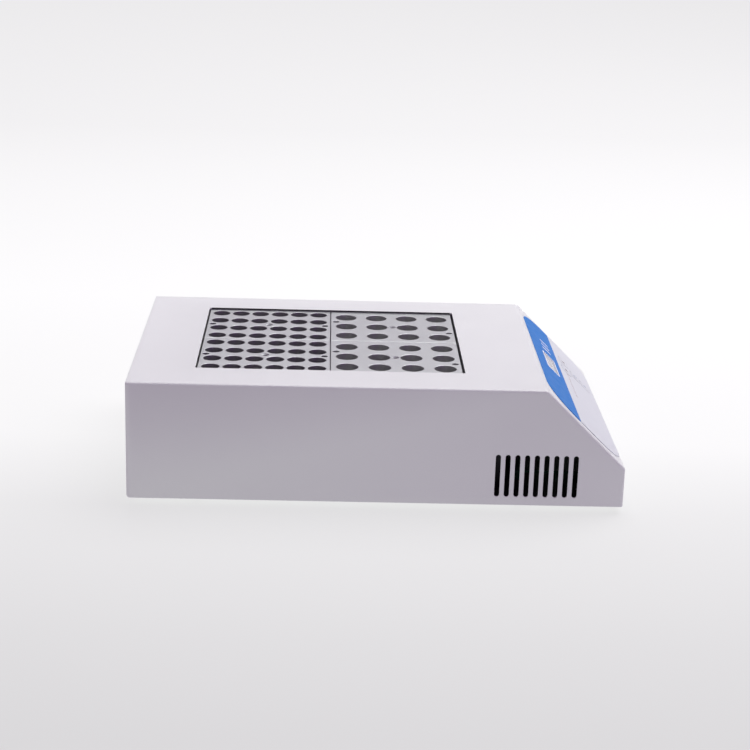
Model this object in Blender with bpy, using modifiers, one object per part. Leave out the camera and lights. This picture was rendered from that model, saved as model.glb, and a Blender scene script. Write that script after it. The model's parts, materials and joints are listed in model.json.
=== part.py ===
"""A dry block heater: a sheet-steel case with a sloping control panel and four lift-out tube blocks.

Metres, +Z up. The front is -Y, so a user who faces the panel has the left side at -X.
The origin is the centre of the bounding box's underside, on the surface that the feet stand on.
"""

import math

import bmesh
import bpy
from mathutils import Matrix, Vector

# The case.
CASE_LENGTH = 0.352
CASE_WIDTH = 0.2265
CASE_HEIGHT = 0.0856
TOP_LENGTH = 0.2938
FRONT_HEIGHT = 0.0288
FOOT_HEIGHT = 0.005
REAR_FITTINGS_PROUD = 0.004
SHEET = 0.0012
BEND_RADIUS = 0.0018
REAR_CORNER = 0.0025
GAP = 0.0003

Y_REAR = CASE_LENGTH / 2 - REAR_FITTINGS_PROUD / 2
Y_FRONT = Y_REAR - CASE_LENGTH
Y_BEND = Y_REAR - TOP_LENGTH
Z_BASE = FOOT_HEIGHT
Z_TOP = Z_BASE + CASE_HEIGHT
Z_LOW_BEND = Z_BASE + FRONT_HEIGHT
X_WALL = CASE_WIDTH / 2 - SHEET
PLATE_TOP = Z_BASE + SHEET

# The sloping panel, whose places are given as distances down from the top bend.
SLOPE = math.atan2(Z_TOP - Z_LOW_BEND, Y_BEND - Y_FRONT)

# The tube blocks: two by two, the rear pair for 13 mm tubes and the front pair for 16 mm tubes.
BLOCKS_X = 0.00305
BLOCKS_Y = 0.0321
BLOCK_PITCH_X = 0.0790
BLOCK_PITCH_Y = 0.0956
BLOCK_WIDTH = 0.0785
BLOCK_LENGTH = 0.0952
BLOCK_HEIGHT = 0.050
BLOCK_CHAMFER = 0.0005
BLOCK_RECESS = 0.0016
BLOCK_TOP = Z_TOP - BLOCK_RECESS
WELL_DEPTH = 0.042
REAR_WELLS = {"radius": 0.0065, "rows": 4, "row_pitch": 0.02006, "columns": 6, "column_pitch": 0.0153}
FRONT_WELLS = {"radius": 0.008, "rows": 3, "row_pitch": 0.02469, "columns": 4, "column_pitch": 0.02374}
PROBE_HOLE_RADIUS = 0.0025
PROBE_HOLE_DEPTH = 0.036
LIFT_HOLE_DEPTH = 0.012
PROBE_HOLE_Y = 0.0435
FRONT_PROBE_HOLE_X = 0.0125

# The opening in the top, and the heated tray under it.
OPENING_WIDTH = 0.1580
OPENING_LENGTH = 0.1928
OPENING_Y = 0.0318
OPENING_CORNER = 0.0015
TRAY_CLEARANCE = 0.0005
TRAY_WALL = 0.002
TRAY_FLOOR = 0.006
TRAY_WIDTH = OPENING_WIDTH + 2 * (TRAY_CLEARANCE + TRAY_WALL)
TRAY_LENGTH = OPENING_LENGTH + 2 * (TRAY_CLEARANCE + TRAY_WALL)
TRAY_TOP = Z_TOP - SHEET - GAP
TRAY_FLOOR_TOP = BLOCK_TOP - BLOCK_HEIGHT - GAP
TRAY_UNDERSIDE = TRAY_FLOOR_TOP - TRAY_FLOOR
HEATER_LENGTH = 0.176
HEATER_WIDTH = 0.142
HEATER_THICKNESS = 0.0015
CLAMP_THICKNESS = 0.002
WRAP = 0.008
CUTOUT_POCKET = (0.024, 0.034)
CUTOUT_RADIUS = 0.008
CUTOUT_HEIGHT = 0.006
CUTOUT_TABS = (0.0048, 0.027, 0.0008)
CUTOUT_TABS_RISE = 0.001
PAD_CORNER = 0.004
WRAP_CORNER = 0.006
POST_RADIUS = 0.004
POST_OUT = 0.0055
POST_IN = 0.012

# The sensor lies in the tray's floor, and comes out at the front.
SENSOR_X = 0.018
SENSOR_Z = (TRAY_FLOOR_TOP + TRAY_UNDERSIDE) / 2
SENSOR_RADIUS = 0.002
SENSOR_REAR = -0.040
SENSOR_FRONT = -0.080
SENSOR_END_CLEARANCE = 0.001
HEATER_LEAD_X = -0.030
HEATER_LEAD_RADIUS = 0.0009
HEATER_LEAD_Z = 0.022
LEAD_HOLE_RADIUS = 0.0032

# Side vents.
VENTS = 9
VENT_FIRST = 0.2615
VENT_PITCH = 0.00689
VENT_WIDTH = 0.0036
VENT_LOW = 0.0063
VENT_HIGH = 0.0378

# Slots in the base, under the power board.
BASE_SLOTS = 7
BASE_SLOT_PITCH = 0.014
BASE_SLOT_WIDTH = 0.0036
BASE_SLOT_LENGTH = 0.030
BASE_SLOT_Y = Y_FRONT + 0.040

# Lips, screws and feet.
LIP = 0.013
LIP_FRONT_END = 0.004
LIP_REAR_END = 0.008
COVER_SCREW_X = X_WALL - 0.0075
COVER_SCREW_YS = (0.125, -0.105)
SCREW_RADIUS = 0.0015
SCREW_HOLE_RADIUS = 0.0019
SCREW_HEAD_TAPER = 0.85
SCREW_SLOT_WIDTH = 0.0008
SCREW_SLOT_DEPTH = 0.0006
COVER_SCREW = {"head_height": 0.0018, "head_radius": 0.0030, "length": 0.0065}
FOOT_SCREW = {"head_height": 0.0016, "head_radius": 0.0035, "length": 0.0085}
FOOT_RADIUS = 0.008
FOOT_FLARE = 0.0008
FOOT_RECESS_RADIUS = 0.0042
FOOT_RECESS_DEPTH = 0.0026
FOOT_X = 0.083
FOOT_Y = 0.150

# Panel parts: widths run along X, and heights along the slope.
OVERLAY_WIDTH = 0.2115
OVERLAY_TOP = 0.0035
OVERLAY_BOTTOM = 0.0798
OVERLAY_UPPER_RADIUS = 0.026
OVERLAY_LOWER_RADIUS = 0.020
OVERLAY_THICKNESS = 0.0004
OVERLAY_GAP = 0.0001
WINDOW_X = 0.00225
WINDOW_SLOPE = 0.0231
WINDOW_WIDTH = 0.0450
WINDOW_HEIGHT = 0.0138
WINDOW_CORNER = 0.0008
KEY_WIDTH = 0.014
KEY_HEIGHT = 0.009
KEY_CORNER = 0.002
KEY_THICKNESS = 0.0007
KEY_LIFT = 0.0006
KEY_STEM_RADIUS = 0.002
KEYS = {
    "up": (0.0567, 0.0455),
    "down": (0.0348, 0.0455),
    "set": (0.04575, 0.0575),
    "start": (0.04575, 0.0690),
}
STEM_END = -SHEET - 0.0006
SWITCH_TOP = STEM_END - 0.0005
TACT_NUB = 0.001
TACT_NUB_RADIUS = 0.00175
TACT_BODY = 0.0035
TACT_WIDTH = 0.006
MODULE_MARGIN = 0.002
BOARD_TOP = SWITCH_TOP - TACT_NUB - TACT_BODY - GAP
BOARD_THICKNESS = 0.0016
BOARD_CORNER = 0.002
BOARD_POST_RADIUS = 0.003
BOARD_POST_INSET = 0.006
BOARD_WIDTH = 0.150
BOARD_HEIGHT = 0.056
BOARD_X = 0.020
BOARD_SLOPE = 0.045

# The electronics bay, in front of the tray.
POWER_BOARD = (0.120, 0.058)
POWER_BOARD_X = -0.010
POWER_BOARD_Y = -0.131
POWER_BOARD_TOP = 0.0150
TRANSFORMER_X = 0.078
TRANSFORMER_Y = -0.098
CORE_SIZE = (0.041, 0.016, 0.034)
WINDING_SIZE = (0.025, 0.030, 0.022)
HEAT_SINK = (0.050, 0.004, 0.032)
HEAT_SINK_X = -0.062
HEAT_SINK_Y = -0.090
FINS = 7
FIN_THICKNESS = 0.0016
FIN_LENGTH = 0.011
FIN_ROOT = 0.0005
FIN_INSET = 0.0001
TRIAC = (0.010, 0.0045, 0.015)
TRIAC_RISE = 0.002

# Rear fittings.
REAR_WALL_Y = Y_REAR - 0.0015
INLET_X = 0.058
SWITCH_X = 0.018
FITTINGS_Z = 0.046
INLET_FLANGE = (0.031, 0.037)
INLET_BODY = (0.0272, 0.0322)
INLET_DEPTH = 0.021
INLET_FLANGE_THICKNESS = 0.0025
INLET_CORNER = 0.003
SOCKET_WIDTH = 0.0240
SOCKET_HEIGHT = 0.0165
SOCKET_DEPTH = 0.016
SOCKET_RISE = 0.0055
SOCKET_CHAMFER = 0.005
PIN_WIDTH = 0.002
PIN_HEIGHT = 0.004
PIN_FRONT_DEPTH = 0.003
PIN_TAB = 0.008
PINS = {"live": (-0.007, -0.002), "neutral": (0.007, -0.002), "earth": (0.0, 0.002)}
DRAWER_WIDTH = 0.0224
DRAWER_HEIGHT = 0.0072
DRAWER_DEPTH = 0.0165
DRAWER_DROP = 0.0105
DRAWER_LIP = 0.0012
DRAWER_LIP_MARGIN = 0.001
DRAWER_FLOOR = 0.001
FUSE_RADIUS = 0.0026
FUSE_LENGTH = 0.020
FUSE_DEPTH = 0.0085
FUSE_TROUGH = 0.0062
SWITCH_FLANGE = (0.015, 0.021)
SWITCH_BODY = (0.0128, 0.0190)
SWITCH_DEPTH = 0.014
SWITCH_FLANGE_THICKNESS = 0.0018
SWITCH_CORNER = 0.002
ROCKER_WIDTH = 0.0102
ROCKER_HALF = 0.0077
ROCKER_END_CLEARANCE = 0.0008
ROCKER_PROUD = 0.0022
ROCKER_WAIST = 0.0012
ROCKER_DEPTH = 0.0042
ROCKER_BELLY = 0.0010
ROCKER_TAPER = 0.0006
ROCKER_PIVOT_DEPTH = 0.0015
ROCKER_WELL_DEPTH = 0.009
ROCKER_TILT = math.radians(9)

PAINT = (0.80, 0.79, 0.81)
DARK_PLASTIC = (0.02, 0.02, 0.022)
STEEL = (0.55, 0.56, 0.58)
ALUMINIUM = (0.60, 0.58, 0.62)
GREEN_BOARD = (0.02, 0.16, 0.07)
LACQUER = (0.10, 0.09, 0.09)
ANODISED = (0.04, 0.04, 0.045)
MINERAL_WOOL = (0.62, 0.55, 0.36)
SILICONE_RED = (0.42, 0.08, 0.05)
PRINTED_BLUE = (0.10, 0.24, 0.65)
KEY_GREY = (0.68, 0.68, 0.74)
GLASS = (0.75, 0.78, 0.78)

for leftover in list(bpy.data.objects):
    bpy.data.objects.remove(leftover)

parts = bpy.data.collections.new("dry_block_heater")
tools = bpy.data.collections.new("cutters")
bpy.context.scene.collection.children.link(parts)
bpy.context.scene.collection.children.link(tools)


# Shapes.


def material(name, colour, roughness, metallic=0.0):
    made = bpy.data.materials.new(name)
    made.use_nodes = True
    made.diffuse_color = (*colour, 1.0)
    shader = made.node_tree.nodes["Principled BSDF"]
    shader.inputs["Base Color"].default_value = (*colour, 1.0)
    shader.inputs["Roughness"].default_value = roughness
    shader.inputs["Metallic"].default_value = metallic
    return made


def mesh_from(name, bm, smooth=False):
    mesh = bpy.data.meshes.new(name)
    bm.to_mesh(mesh)
    bm.free()
    if smooth:
        mesh.shade_smooth()
        mesh.set_sharp_from_angle(angle=math.radians(40))
    return mesh


def box_mesh(name, size):
    bm = bmesh.new()
    bmesh.ops.create_cube(bm, size=1.0, matrix=Matrix.Diagonal((*size, 1.0)))
    return mesh_from(name, bm)


def cylinder_mesh(name, radius, depth, segments=16, top_radius=None):
    """A cylinder or a cone along Z, centred on its origin."""
    bm = bmesh.new()
    bmesh.ops.create_cone(
        bm,
        cap_ends=True,
        segments=segments,
        radius1=radius,
        radius2=radius if top_radius is None else top_radius,
        depth=depth,
    )
    return mesh_from(name, bm, smooth=True)


def plate_mesh(name, outlines, thickness):
    """A flat plate in XY. The first outline is its edge, and the others are holes in it."""
    curve = bpy.data.curves.new(name, "CURVE")
    curve.dimensions = "2D"
    curve.fill_mode = "BOTH"
    curve.extrude = thickness / 2
    for outline in outlines:
        spline = curve.splines.new("POLY")
        spline.points.add(len(outline) - 1)
        for point, (x, y) in zip(spline.points, outline):
            point.co = (x, y, 0.0, 1.0)
        spline.use_cyclic_u = True
    guide = bpy.data.objects.new(name, curve)
    bpy.context.scene.collection.objects.link(guide)
    evaluated = guide.evaluated_get(bpy.context.evaluated_depsgraph_get())
    mesh = bpy.data.meshes.new_from_object(evaluated)
    bpy.data.objects.remove(guide)
    bpy.data.curves.remove(curve)
    bm = bmesh.new()
    bm.from_mesh(mesh)
    bpy.data.meshes.remove(mesh)
    bmesh.ops.remove_doubles(bm, verts=bm.verts, dist=1e-6)
    bmesh.ops.dissolve_limit(bm, angle_limit=math.radians(0.5), verts=bm.verts, edges=bm.edges)
    return mesh_from(name, bm)


def combined_mesh(name, placed):
    """One mesh of several closed ones, each given with its matrix."""
    bm = bmesh.new()
    for mesh, matrix in placed:
        start = len(bm.verts)
        bm.from_mesh(mesh)
        bm.verts.ensure_lookup_table()
        bmesh.ops.transform(bm, matrix=matrix, verts=bm.verts[start:])
    return mesh_from(name, bm)


def arc(centre, radius, start, end, steps):
    """Points along an arc, its ends included. The angles are in degrees."""
    angles = [math.radians(start + (end - start) * i / steps) for i in range(steps + 1)]
    return [(centre[0] + radius * math.cos(t), centre[1] + radius * math.sin(t)) for t in angles]


def rectangle(width, height, upper_radius=0.0, lower_radius=None, steps=3):
    """A rectangle about the origin, with rounded upper and lower corners."""
    lower = upper_radius if lower_radius is None else lower_radius
    half_x = width / 2
    half_y = height / 2
    corners = ((1, 1, 0, upper_radius), (-1, 1, 90, upper_radius), (-1, -1, 180, lower), (1, -1, 270, lower))
    points = []
    for side_x, side_y, angle, radius in corners:
        if radius == 0.0:
            points.append((side_x * half_x, side_y * half_y))
            continue
        centre = (side_x * (half_x - radius), side_y * (half_y - radius))
        points += arc(centre, radius, angle, angle + 90, steps)
    return points


def moved(outline, x, y):
    return [(px + x, py + y) for px, py in outline]


# Objects.


def part(name, mesh, finish, place=(0.0, 0.0, 0.0), turn=(0.0, 0.0, 0.0)):
    obj = bpy.data.objects.new(name, mesh)
    obj.location = place
    obj.rotation_euler = turn
    mesh.name = name
    mesh.materials.clear()
    mesh.materials.append(finish)
    parts.objects.link(obj)
    return obj


def tool(name, mesh, place=(0.0, 0.0, 0.0), turn=(0.0, 0.0, 0.0)):
    obj = bpy.data.objects.new(name, mesh)
    obj.location = place
    obj.rotation_euler = turn
    obj.hide_render = True
    obj.display_type = "WIRE"
    tools.objects.link(obj)
    return obj


def boolean(obj, operation, other):
    modifier = obj.modifiers.new(other.name, "BOOLEAN")
    modifier.operation = operation
    modifier.solver = "EXACT"
    modifier.object = other


def on_slope(x, down, out=0.0):
    """A point over the sloping panel, from its X, its distance down from the top bend and its height."""
    direction = Vector((0.0, -math.cos(SLOPE), -math.sin(SLOPE)))
    normal = Vector((0.0, -math.sin(SLOPE), math.cos(SLOPE)))
    return Vector((x, Y_BEND, Z_TOP)) + direction * down + normal * out


SLOPE_TURN = (SLOPE, 0.0, 0.0)
ALONG_X = (0.0, math.radians(90), 0.0)
ALONG_Y = (math.radians(90), 0.0, 0.0)
FACING_REAR = (math.radians(-90), 0.0, 0.0)


def bend(bm, radius):
    """Rounds every fold of an open sheet."""
    folds = [e for e in bm.edges if len(e.link_faces) == 2 and e.calc_face_angle(0.0) > math.radians(10)]
    bmesh.ops.bevel(bm, geom=folds, offset=radius, segments=2, profile=0.5, affect="EDGES")


def sheet_metal(name, bm, finish):
    obj = part(name, mesh_from(name, bm, smooth=True), finish)
    solidify = obj.modifiers.new("sheet", "SOLIDIFY")
    solidify.thickness = SHEET
    solidify.offset = -1.0
    solidify.use_even_offset = True
    return obj


# The case.


def cover():
    corner = (Y_REAR - REAR_CORNER, Z_BASE + REAR_CORNER)
    profile = [
        *arc(corner, REAR_CORNER, -90, 0, 3),
        (Y_REAR, Z_TOP),
        (Y_BEND, Z_TOP),
        (Y_FRONT, Z_LOW_BEND),
        (Y_FRONT, Z_BASE),
    ]
    bm = bmesh.new()
    side = plate_mesh("profile", [profile], CASE_WIDTH)
    bm.from_mesh(side)
    bpy.data.meshes.remove(side)
    upright = Matrix(((0, 0, 1, 0), (1, 0, 0, 0), (0, 1, 0, 0), (0, 0, 0, 1)))
    bmesh.ops.transform(bm, matrix=upright, verts=bm.verts)
    bm.normal_update()
    open_faces = [f for f in bm.faces if f.normal.z < -0.1 or f.normal.y > 0.1]
    bmesh.ops.delete(bm, geom=open_faces, context="FACES")
    bend(bm, BEND_RADIUS)
    obj = sheet_metal("top_cover", bm, material("pale_paint", PAINT, 0.42))
    lip_z = PLATE_TOP + GAP + SHEET / 2
    lip_length = CASE_LENGTH - LIP_FRONT_END - LIP_REAR_END
    lip_y = Y_REAR - LIP_REAR_END - lip_length / 2
    for side_name, sign in (("left", -1), ("right", 1)):
        lip = box_mesh("lip", (LIP, lip_length, SHEET))
        place = (sign * (X_WALL + SHEET / 2 - LIP / 2), lip_y, lip_z)
        boolean(obj, "UNION", tool("lip_" + side_name, lip, place))
    lip = box_mesh("lip", (CASE_WIDTH - 2 * LIP, LIP, SHEET))
    boolean(obj, "UNION", tool("lip_front", lip, (0.0, Y_FRONT + SHEET / 2 + LIP / 2, lip_z)))
    boolean(obj, "DIFFERENCE", opening_tool())
    boolean(obj, "DIFFERENCE", vent_tool())
    boolean(obj, "DIFFERENCE", panel_tool())
    boolean(obj, "DIFFERENCE", screw_hole_tool("cover_screw_holes", lip_z))


def opening_tool():
    outline = rectangle(OPENING_WIDTH, OPENING_LENGTH, OPENING_CORNER)
    return tool("block_opening", plate_mesh("block_opening", [outline], 0.02), (BLOCKS_X, OPENING_Y, Z_TOP))


def vent_tool():
    """Upright slots through both sides, near the front."""
    slot = plate_mesh("slot", [rectangle(VENT_WIDTH, VENT_HIGH - VENT_LOW, VENT_WIDTH / 2, steps=6)], 0.02)
    sideways = Matrix(((0, 0, 1, 0), (1, 0, 0, 0), (0, 1, 0, 0), (0, 0, 0, 1)))
    z = Z_BASE + (VENT_LOW + VENT_HIGH) / 2
    placed = []
    for sign in (-1, 1):
        for i in range(VENTS):
            place = (sign * CASE_WIDTH / 2, Y_REAR - VENT_FIRST - i * VENT_PITCH, z)
            placed.append((slot, Matrix.Translation(place) @ sideways))
    return tool("vent_slots", combined_mesh("vent_slots", placed))


def panel_tool():
    """The window's opening and the holes for the keys' stems."""
    window = rectangle(WINDOW_WIDTH + 2 * GAP, WINDOW_HEIGHT + 2 * GAP, WINDOW_CORNER + GAP)
    window_mesh = plate_mesh("window", [window], 0.006)
    stem_mesh = cylinder_mesh("stem_hole", KEY_STEM_RADIUS + GAP, 0.006, 12)
    lean = Matrix.Rotation(SLOPE, 4, "X")
    placed = [(window_mesh, Matrix.Translation(on_slope(WINDOW_X, WINDOW_SLOPE)) @ lean)]
    for x, down in KEYS.values():
        placed.append((stem_mesh, Matrix.Translation(on_slope(x, down)) @ lean))
    return tool("panel_holes", combined_mesh("panel_holes", placed))


def screw_hole_tool(name, z):
    hole = cylinder_mesh("hole", SCREW_HOLE_RADIUS, 4 * SHEET, 10)
    placed = []
    for sign in (-1, 1):
        for y in COVER_SCREW_YS:
            placed.append((hole, Matrix.Translation((sign * COVER_SCREW_X, y, z))))
    return tool(name, combined_mesh(name, placed))


def chassis():
    """The base plate and the rear wall, folded from one sheet."""
    width = 2 * (X_WALL - GAP)
    front = Y_FRONT + SHEET + GAP
    height = Z_TOP - SHEET - GAP - Z_BASE
    length = REAR_WALL_Y - front
    bm = bmesh.new()
    centre = Matrix.Translation((0.0, front + length / 2, Z_BASE + height / 2))
    bmesh.ops.create_cube(bm, size=1.0, matrix=centre @ Matrix.Diagonal((width, length, height, 1.0)))
    bm.normal_update()
    open_faces = [f for f in bm.faces if f.normal.z > -0.9 and f.normal.y < 0.9]
    bmesh.ops.delete(bm, geom=open_faces, context="FACES")
    bend(bm, BEND_RADIUS)
    obj = sheet_metal("chassis", bm, material("chassis_paint", PAINT, 0.45))
    boolean(obj, "DIFFERENCE", screw_hole_tool("chassis_screw_holes", Z_BASE + SHEET / 2))
    foot_hole = cylinder_mesh("hole", SCREW_HOLE_RADIUS, 4 * SHEET, 10)
    placed = []
    for x, y in foot_places().values():
        placed.append((foot_hole, Matrix.Translation((x, y, Z_BASE))))
    outline = rectangle(BASE_SLOT_WIDTH, BASE_SLOT_LENGTH, BASE_SLOT_WIDTH / 2)
    slot = plate_mesh("slot", [outline], 4 * SHEET)
    for i in range(BASE_SLOTS):
        x = (i - (BASE_SLOTS - 1) / 2) * BASE_SLOT_PITCH
        placed.append((slot, Matrix.Translation((x, BASE_SLOT_Y, Z_BASE))))
    boolean(obj, "DIFFERENCE", tool("base_holes", combined_mesh("base_holes", placed)))
    for name, x, size in (("inlet", INLET_X, INLET_BODY), ("switch", SWITCH_X, SWITCH_BODY)):
        hole = box_mesh("cut_out", (size[0] + 2 * GAP, 0.01, size[1] + 2 * GAP))
        boolean(obj, "DIFFERENCE", tool(name + "_cut_out", hole, (x, REAR_WALL_Y, FITTINGS_Z)))


def foot_places():
    return {
        "front_left": (-FOOT_X, -FOOT_Y),
        "front_right": (FOOT_X, -FOOT_Y),
        "rear_left": (-FOOT_X, FOOT_Y),
        "rear_right": (FOOT_X, FOOT_Y),
    }


def feet():
    """Rubber feet, each held by a screw whose head sits in a recess under it."""
    rubber = material("black_rubber", (0.03, 0.03, 0.03), 0.85)
    steel = material("screw_steel", STEEL, 0.3, 1.0)
    height = FOOT_HEIGHT - GAP
    for name, (x, y) in foot_places().items():
        body = cylinder_mesh("foot", FOOT_RADIUS, height, 20, FOOT_RADIUS + FOOT_FLARE)
        foot = part("foot_" + name, body, rubber, (x, y, height / 2))
        hole = cylinder_mesh("hole", SCREW_HOLE_RADIUS, 2 * height, 10)
        recess = cylinder_mesh("recess", FOOT_RECESS_RADIUS, 2 * FOOT_RECESS_DEPTH, 14)
        boolean(foot, "DIFFERENCE", tool("foot_hole_" + name, hole, (x, y, height / 2)))
        boolean(foot, "DIFFERENCE", tool("foot_recess_" + name, recess, (x, y, 0.0)))
        screw("foot_screw_" + name, steel, (x, y, FOOT_RECESS_DEPTH - GAP), FOOT_SCREW)


def screw(name, steel, seat, sizes):
    """A pan-head screw that points up. Its seat is the middle of its head's upper face."""
    x, y, head_top = seat
    head_height = sizes["head_height"]
    head_radius = sizes["head_radius"]
    head = cylinder_mesh(name, head_radius * SCREW_HEAD_TAPER, head_height, 14, head_radius)
    body = part(name, head, steel, (x, y, head_top - head_height / 2))
    length = sizes["length"] + head_height / 2
    shank = cylinder_mesh("shank", SCREW_RADIUS, length, 10)
    shank_z = head_top + sizes["length"] - length / 2
    boolean(body, "UNION", tool("shank_" + name, shank, (x, y, shank_z)))
    slot = box_mesh("slot", (3 * head_radius, SCREW_SLOT_WIDTH, 2 * SCREW_SLOT_DEPTH))
    boolean(body, "DIFFERENCE", tool("slot_" + name, slot, (x, y, head_top - head_height)))


def cover_screws():
    steel = material("cover_screw_steel", STEEL, 0.3, 1.0)
    for side, sign in (("left", -1), ("right", 1)):
        for end, y in zip(("rear", "front"), COVER_SCREW_YS):
            name = "cover_screw_" + end + "_" + side
            screw(name, steel, (sign * COVER_SCREW_X, y, Z_BASE - GAP), COVER_SCREW)


# The blocks and what heats them.


def block_mesh(name, wells, probe_holes):
    """A solid block with a grid of blind wells. A probe hole is an X, a Y and a depth."""
    bm = bmesh.new()
    size = Matrix.Diagonal((BLOCK_WIDTH, BLOCK_LENGTH, BLOCK_HEIGHT, 1.0))
    bmesh.ops.create_cube(bm, size=1.0, matrix=size)
    bmesh.ops.bevel(bm, geom=bm.edges, offset=BLOCK_CHAMFER, segments=1, affect="EDGES")
    block = mesh_from(name, bm)
    well = cylinder_mesh("well", wells["radius"], 2 * WELL_DEPTH, 16)
    placed = []
    for row in range(wells["rows"]):
        for column in range(wells["columns"]):
            x = (row - (wells["rows"] - 1) / 2) * wells["row_pitch"]
            y = (column - (wells["columns"] - 1) / 2) * wells["column_pitch"]
            placed.append((well, Matrix.Translation((x, y, BLOCK_HEIGHT / 2))))
    for x, y, depth in probe_holes:
        hole = cylinder_mesh("probe_hole", PROBE_HOLE_RADIUS, 2 * depth, 8)
        placed.append((hole, Matrix.Translation((x, y, BLOCK_HEIGHT / 2))))
    return block, combined_mesh(name + "_wells", placed)


def blocks():
    aluminium = material("anodised_aluminium", ALUMINIUM, 0.38, 0.85)
    rear_holes = [(0.0, y, PROBE_HOLE_DEPTH) for y in (-PROBE_HOLE_Y, PROBE_HOLE_Y)]
    front_holes = [(FRONT_PROBE_HOLE_X, PROBE_HOLE_Y, PROBE_HOLE_DEPTH)]
    front_holes.append((-FRONT_PROBE_HOLE_X, -PROBE_HOLE_Y, PROBE_HOLE_DEPTH))
    lift_hole = [(0.0, 0.0, LIFT_HOLE_DEPTH)]
    pairs = (("rear", 1, REAR_WELLS, rear_holes), ("front", -1, FRONT_WELLS, front_holes))
    for end, end_sign, wells, holes in pairs:
        mesh, well_mesh = block_mesh("block_" + end, wells, holes + lift_hole)
        for side, side_sign in (("left", -1), ("right", 1)):
            x = BLOCKS_X + side_sign * BLOCK_PITCH_X / 2
            y = BLOCKS_Y + end_sign * BLOCK_PITCH_Y / 2
            place = (x, y, BLOCK_TOP - BLOCK_HEIGHT / 2)
            block = part("block_" + end + "_" + side, mesh, aluminium, place)
            boolean(block, "DIFFERENCE", tool("wells_" + end + "_" + side, well_mesh, place))


def tray():
    """The chamber that the blocks stand in: a thick heated floor with thin walls."""
    height = TRAY_TOP - TRAY_UNDERSIDE
    shell = box_mesh("tray", (TRAY_WIDTH, TRAY_LENGTH, height))
    obj = part("block_tray", shell, material("tray_aluminium", (0.55, 0.55, 0.57), 0.45, 0.9))
    obj.location = (BLOCKS_X, OPENING_Y, TRAY_UNDERSIDE + height / 2)
    inside = box_mesh("inside", (TRAY_WIDTH - 2 * TRAY_WALL, TRAY_LENGTH - 2 * TRAY_WALL, height))
    inside_place = (BLOCKS_X, OPENING_Y, TRAY_FLOOR_TOP + height / 2)
    boolean(obj, "DIFFERENCE", tool("tray_inside", inside, inside_place))
    bore_rear = SENSOR_REAR + SENSOR_END_CLEARANCE
    bore_front = OPENING_Y - TRAY_LENGTH / 2 - TRAY_WALL
    bore = cylinder_mesh("bore", SENSOR_RADIUS + GAP, bore_rear - bore_front, 12)
    bore_y = (bore_rear + bore_front) / 2
    boolean(obj, "DIFFERENCE", tool("sensor_bore", bore, (SENSOR_X, bore_y, SENSOR_Z), ALONG_Y))


def heater():
    mat_z = TRAY_UNDERSIDE - GAP - HEATER_THICKNESS / 2
    clamp_z = mat_z - HEATER_THICKNESS / 2 - GAP - CLAMP_THICKNESS / 2
    outline = [rectangle(HEATER_WIDTH, HEATER_LENGTH, PAD_CORNER)]
    mat = plate_mesh("heater_mat", outline, HEATER_THICKNESS)
    part("heater_mat", mat, material("silicone_rubber", SILICONE_RED, 0.7), (BLOCKS_X, OPENING_Y, mat_z))
    clamp = plate_mesh("clamp_plate", outline, CLAMP_THICKNESS)
    part("clamp_plate", clamp, material("clamp_steel", STEEL, 0.4, 1.0), (BLOCKS_X, OPENING_Y, clamp_z))
    base_top = clamp_z - CLAMP_THICKNESS / 2 - GAP
    base_bottom = PLATE_TOP + GAP
    pocket = rectangle(*CUTOUT_POCKET)
    pad_outlines = [rectangle(HEATER_WIDTH, HEATER_LENGTH), pocket]
    pad = plate_mesh("insulation_base", pad_outlines, base_top - base_bottom)
    wool = material("mineral_wool", MINERAL_WOOL, 0.95)
    part("insulation_base", pad, wool, (BLOCKS_X, OPENING_Y, (base_top + base_bottom) / 2))
    wrap(base_bottom)
    cutout(base_top)


def wrap(bottom):
    """The insulation around the tray's walls, with holes for the two leads."""
    inner_width = TRAY_WIDTH + 2 * GAP
    inner_length = TRAY_LENGTH + 2 * GAP
    outer = rectangle(inner_width + 2 * WRAP, inner_length + 2 * WRAP, WRAP_CORNER)
    inner = rectangle(inner_width, inner_length)
    height = TRAY_TOP - bottom
    ring = plate_mesh("insulation_wrap", [outer, inner], height)
    wool = material("wrap_wool", MINERAL_WOOL, 0.95)
    obj = part("insulation_wrap", ring, wool, (BLOCKS_X, OPENING_Y, bottom + height / 2))
    front = OPENING_Y - inner_length / 2 - WRAP / 2
    for name, x, z in (("sensor", SENSOR_X, SENSOR_Z), ("heater", HEATER_LEAD_X, HEATER_LEAD_Z)):
        hole = cylinder_mesh("hole", LEAD_HOLE_RADIUS, 3 * WRAP, 12)
        boolean(obj, "DIFFERENCE", tool(name + "_lead_hole", hole, (x, front, z), ALONG_Y))


def cutout(top):
    """The bimetal thermal cut-out, in the pocket under the clamp plate."""
    place = (BLOCKS_X, OPENING_Y, top - CUTOUT_HEIGHT / 2)
    body = cylinder_mesh("thermal_cutout", CUTOUT_RADIUS, CUTOUT_HEIGHT, 16)
    obj = part("thermal_cutout", body, material("phenolic", (0.05, 0.035, 0.03), 0.5), place)
    tabs = box_mesh("tabs", CUTOUT_TABS)
    tabs_z = top - CUTOUT_HEIGHT + CUTOUT_TABS_RISE
    boolean(obj, "UNION", tool("cutout_tabs", tabs, (BLOCKS_X, OPENING_Y, tabs_z)))


def tray_posts():
    ceramic = material("ceramic", (0.75, 0.72, 0.66), 0.5)
    bottom = PLATE_TOP + GAP
    top = TRAY_UNDERSIDE - GAP
    for end, end_sign in (("rear", 1), ("front", -1)):
        for side, side_sign in (("left", -1), ("right", 1)):
            x = BLOCKS_X + side_sign * (HEATER_WIDTH / 2 + POST_OUT)
            y = OPENING_Y + end_sign * (TRAY_LENGTH / 2 - POST_IN)
            mesh = cylinder_mesh("post", POST_RADIUS, top - bottom, 8)
            part("tray_post_" + end + "_" + side, mesh, ceramic, (x, y, (top + bottom) / 2))


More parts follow.
